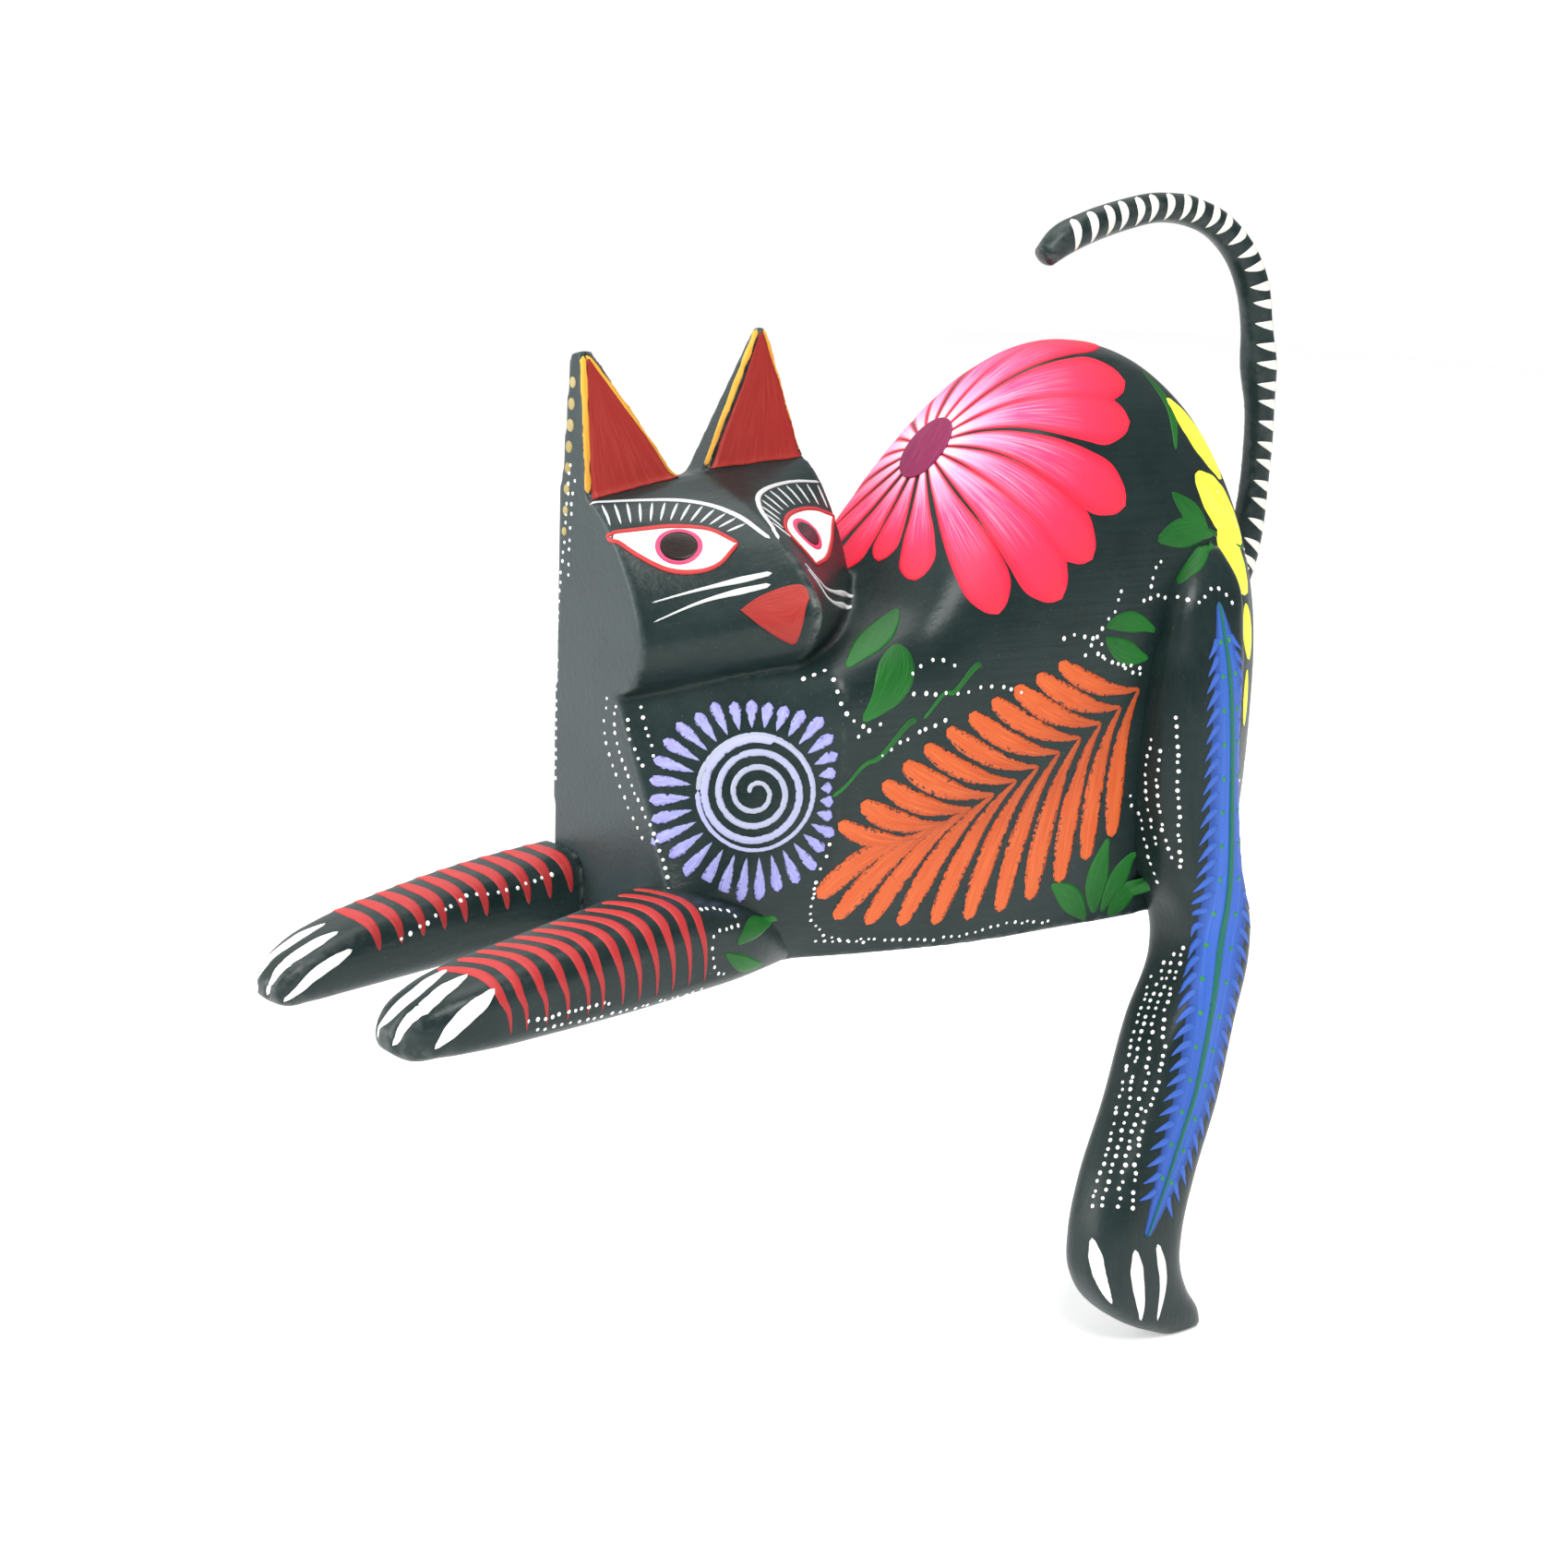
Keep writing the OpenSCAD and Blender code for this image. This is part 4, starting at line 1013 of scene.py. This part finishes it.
for k in range(32):
    a = 2 * math.pi * (k + 0.5) / 32
    d = S1 * math.cos(a) + S2 * math.sin(a)
    r1 = 20.4 - 6.0 * math.exp(-((abs(math.degrees(math.remainder(a, 2 * math.pi))) - 180) / 38) ** 2) - 3.4 * math.exp(-((math.degrees(a) - 90) / 34) ** 2) + rng.uniform(-0.7, 0.7)
    t = np.linspace(0, 1, 5)[:, None]
    sun.stroke(np.column_stack([SUN + d * (12.0 + (r1 - 12.0) * t), np.array([0.14, 0.55, 0.95, 1.15, 0.75])]), crown=0.05, cross=0.5)
for guide, pitch, r in (([[-65, 4, 48], [-65, 4, 43], [-65, 1, 38], [-65, -4, 32], [-65, -9, 27], [-65, -13, 22], [-65, -15, 18]], 1.7, 0.36),
                        ([[-65, 7, 49], [-65, 7.5, 42], [-65, 4, 36], [-65, -1, 30], [-65, -6, 25]], 2.1, 0.36),
                        ([[-64, 1, 46], [-64.5, -1, 42], [-64, -4, 38]], 1.8, 0.36), ([[-62, 0, 48], [-62.5, -3, 44], [-62.5, -5, 40]], 1.8, 0.36)):
    white.row(guide, pitch, r, 0.12)

# Flat front: rows of dots along its edge
white.row([[-65, 21, 91], [-65, 22, 83], [-65, 23, 74], [-65, 24.6, 61], [-65, 24.6, 46], [-65, 24.4, 30]], 1.9, 0.38, 0.1)
white.row([[-65, 19.5, 88], [-65, 20.5, 80], [-65, 21, 70]], 2.2, 0.36, 0.1)
for k in range(8):
    ivory.dot([-65, 20.6 + 0.3 * k, 106 - 4 * k], 1.25 - 0.4 * abs(k - 2) / 5)

# Face
LID_L = [[-65, 8, 79], [-59, 5, 80], [-54, 2, 81], [-49, -2, 80.5], [-46, -7, 78]]
LOW_L = [[-65, 8, 79], [-62, 2, 76], [-58, -4, 74], [-52, -8, 75], [-46, -7, 78]]
LID_R = [[-15, 4, 81], [-23, 3, 82], [-32, -2, 81.5], [-36, -8, 79], [-32, -13, 75]]
LOW_R = [[-15, 4, 81], [-17, 2, 79.5], [-20, -2, 77], [-25, -7, 75], [-32, -13, 75]]
for a, b in ((LID_L, LOW_L), (LID_R, LOW_R)):
    eye_white.patch(a, b, rows=15, cols=30)
    rim.stroke(thick(a, [0.35, 0.45, 0.35], 12), cross=0.3)
    rim.stroke(thick(b, [0.35, 0.45, 0.35], 12), cross=0.3)
eye_ring.disc([-55.4, -1.4, 78], [10, -8, 0], 4.4, 4.0, rows=13)
pupil.disc([-55.4, -1.4, 78], [10, -8, 0], 3.5, 3.2, rows=11)
eye_ring.disc([-28.5, -4.6, 79], [10, 6, 1], 4.6, 3.7, rows=13)
pupil.disc([-28.5, -4.6, 79], [10, 6, 1], 3.5, 2.7, rows=11)
BROW_L = [[-65, 14, 84], [-56, 10.5, 84.5], [-48, 6, 84], [-43, -1, 82], [-41, -10, 79]]
BROW_R = [[-15, 10, 86], [-24, 9, 85.5], [-33, 5, 84.5], [-38, -1, 82], [-40, -11, 79]]
for brow, lid, count in ((BROW_L, LID_L, 13), (BROW_R, LID_R, 11)):
    line.stroke(thick(brow, [0.25, 0.38, 0.5, 0.55, 0.35], 14), cross=0.35)
    for k in range(count):
        t = 0.05 + 0.86 * k / count
        a, b = along(brow, t)[0], along(lid, t)[0]
        u = np.array([0.12, 0.45, 0.80])[:, None]
        line.stroke(np.column_stack([a + (b - a) * u, [0.16, 0.27, 0.12]]), cross=0.35)
for guide in ([[-62, -3, 68], [-54, -10, 72], [-45, -16, 75]], [[-63, -5, 65], [-55, -11, 70], [-46, -17, 73]],
              [[-37, -16, 76], [-32, -16, 71], [-17, -5, 67]], [[-37, -17, 75], [-33, -17, 69], [-19, -7, 65]]):
    line.stroke(thick(guide, [0.12, 0.2, 0.34, 0.62, 0.45]), cross=0.35)
red.patch([[-51, -15, 68], [-48, -17, 71], [-44, -20, 73.5], [-42, -22, 73.5], [-40.5, -22, 70]],
          [[-51, -15, 68], [-48, -18, 65], [-43, -20, 62.5], [-42, -21, 64], [-40.5, -22, 70]], rows=32, cols=44)
# Ears
red.patch([[-63.9, 17.8, 110.4], [-63.9, 16.8, 101], [-63.9, 16, 92], [-63.9, 15, 83.6]], [[-63.4, 17.8, 110.4], [-57, 17, 102.5], [-50.4, 16.2, 94.5], [-44.8, 15.2, 86.4]], rows=18, cols=30)
red.patch([[-24.8, 17.6, 114.8], [-29.2, 17, 105], [-33.6, 16.5, 96.5], [-37.4, 15.4, 88.6]], [[-24.2, 17.6, 114.8], [-20.6, 17, 105.5], [-18, 16.5, 98], [-15.8, 15.6, 89.8]], rows=18, cols=30)
for guide in ([[-64.6, 17.8, 111], [-64.6, 16.4, 98], [-64.6, 15.2, 86]], [[-64, 17.9, 111], [-54, 16.8, 99.5], [-44.4, 15.4, 87.5]],
              [[-25.4, 17.8, 115.5], [-32, 16.8, 102], [-38, 15.6, 90]], [[-23.6, 17.8, 115.5], [-19.3, 17, 103], [-15.2, 16, 91]]):
    q = thick(guide, [0.5, 0.72, 0.5], 12)
    q[:, 3] *= rng.uniform(0.7, 1.25, 12)
    gold.stroke(q, cross=0.35)
# Backs of the ears and the far side of the head
white.row([[-63, 23, 108], [-55, 24, 97], [-49, 25, 90]], 2.4, 0.45)
white.row([[-25, 20, 112], [-30, 23, 100], [-35, 25, 91]], 2.4, 0.45)
white.row([[-60, 25.4, 76], [-45, 25.4, 70], [-30, 25.4, 72], [-18, 25.4, 66]], 2.4, 0.45)
for k in range(5):
    a, x = math.radians(72 * k + 90), -40
    sheath([x, 25.4, 62], [x + 8 * math.cos(a), 25.4, 62 + 8 * math.sin(a)], 1.8)

# Crescents along the tail
for k in range(29):
    i = int(np.clip(178 - k * 5.6, 14, 182))
    q, d, w = tp[i], td[i], tw[i]
    out = unit(np.cross([0, 1.0, 0], d))
    if np.dot(out, q - np.array([62, 0, 95])) < 0:
        out = -out
    for hand in (1, -1):
        pts = [q + d * (f * 0.9 - 1.4 * (hand < 0)) + w * (math.cos(f) * out - hand * math.sin(f) * np.array([0, 1.0, 0]))
               for f in np.linspace(0.25, 2.45, 7)]
        rings.stroke(np.column_stack([pts, [0.5, 0.85, 1.0, 1.0, 0.8, 0.5, 0.12]]), cross=0.4)

for item in (petal, eye_of_daisy, yellow, leaf, fern, white, cream, sun, coil, stripe, blue, teal, lime, red, gold, ivory,
             line, eye_white, eye_ring, pupil, rim, rings):
    item.make()

# --------------------------------------------------------- stage and light
def ground_floor():
    z = CAD_BOX[0][2] * 1000 - 0.2
    v = [[-2500, -2500, z], [2500, -2500, z], [2500, 2500, z], [-2500, 2500, z]]
    ob = new_object("floor", v, [[0, 1, 2, 3]], smooth=False)
    n = Nodes("floor_paper")
    col = n.mix(n.noise(n.coord(), 3, 3), (0.86, 0.86, 0.86), (0.90, 0.90, 0.90))
    n.bsdf.inputs["Emission Color"].default_value = (1, 1, 1, 1)
    n.bsdf.inputs["Emission Strength"].default_value = 0.42
    ob.data.materials.append(n.done(col, 0.8))


ground_floor()
world = bpy.data.worlds.new("studio")
bpy.context.scene.world = world
world.use_nodes = True
wt = world.node_tree
bg = wt.nodes["Background"]
bg.inputs[1].default_value = 1.0
tc = wt.nodes.new("ShaderNodeTexCoord")
dot = wt.nodes.new("ShaderNodeVectorMath")
dot.operation = "DOT_PRODUCT"
dot.inputs[1].default_value = (-0.25, 0.80, 0.55)
wt.links.new(tc.outputs["Generated"], dot.inputs[0])
grade = wt.nodes.new("ShaderNodeValToRGB")
wt.links.new(dot.outputs["Value"], grade.inputs[0])
grade.color_ramp.elements[0].position = 0.0
grade.color_ramp.elements[0].color = (0.22, 0.22, 0.23, 1)
grade.color_ramp.elements[1].position = 0.8
grade.color_ramp.elements[1].color = (0.95, 0.95, 0.95, 1)
seen = wt.nodes.new("ShaderNodeLightPath")
plain = wt.nodes.new("ShaderNodeMix")
plain.data_type = "RGBA"
wt.links.new(seen.outputs["Is Camera Ray"], plain.inputs[0])
wt.links.new(grade.outputs[0], plain.inputs[6])
plain.inputs[7].default_value = (1.0, 1.0, 1.0, 1)
wt.links.new(plain.outputs[2], bg.inputs[0])


def area(name, pos, target, size, power, color=(1, 1, 1)):
    d = bpy.data.lights.new(name, "AREA")
    d.shape = "SQUARE"
    d.size = size
    d.energy = power
    d.color = color
    ob = bpy.data.objects.new(name, d)
    bpy.context.scene.collection.objects.link(ob)
    ob.location = pos
    ob.rotation_euler = (Vector(target) - Vector(pos)).to_track_quat("-Z", "Y").to_euler()
    return ob


area("key", (-0.35, -0.9, 1.25), (0, 0, 0.04), 0.7, 21)
area("front", (-1.3, 0.6, 0.5), (0, 0, 0.05), 0.9, 18)
area("top", (0.1, 0.3, 1.4), (0, 0, 0.05), 0.9, 8)

# ------------------------------------------------------------------ finish
for node, ob in WOOD.items():
    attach(ob, "tail" if node == "tail" else "figure")
    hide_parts(node)
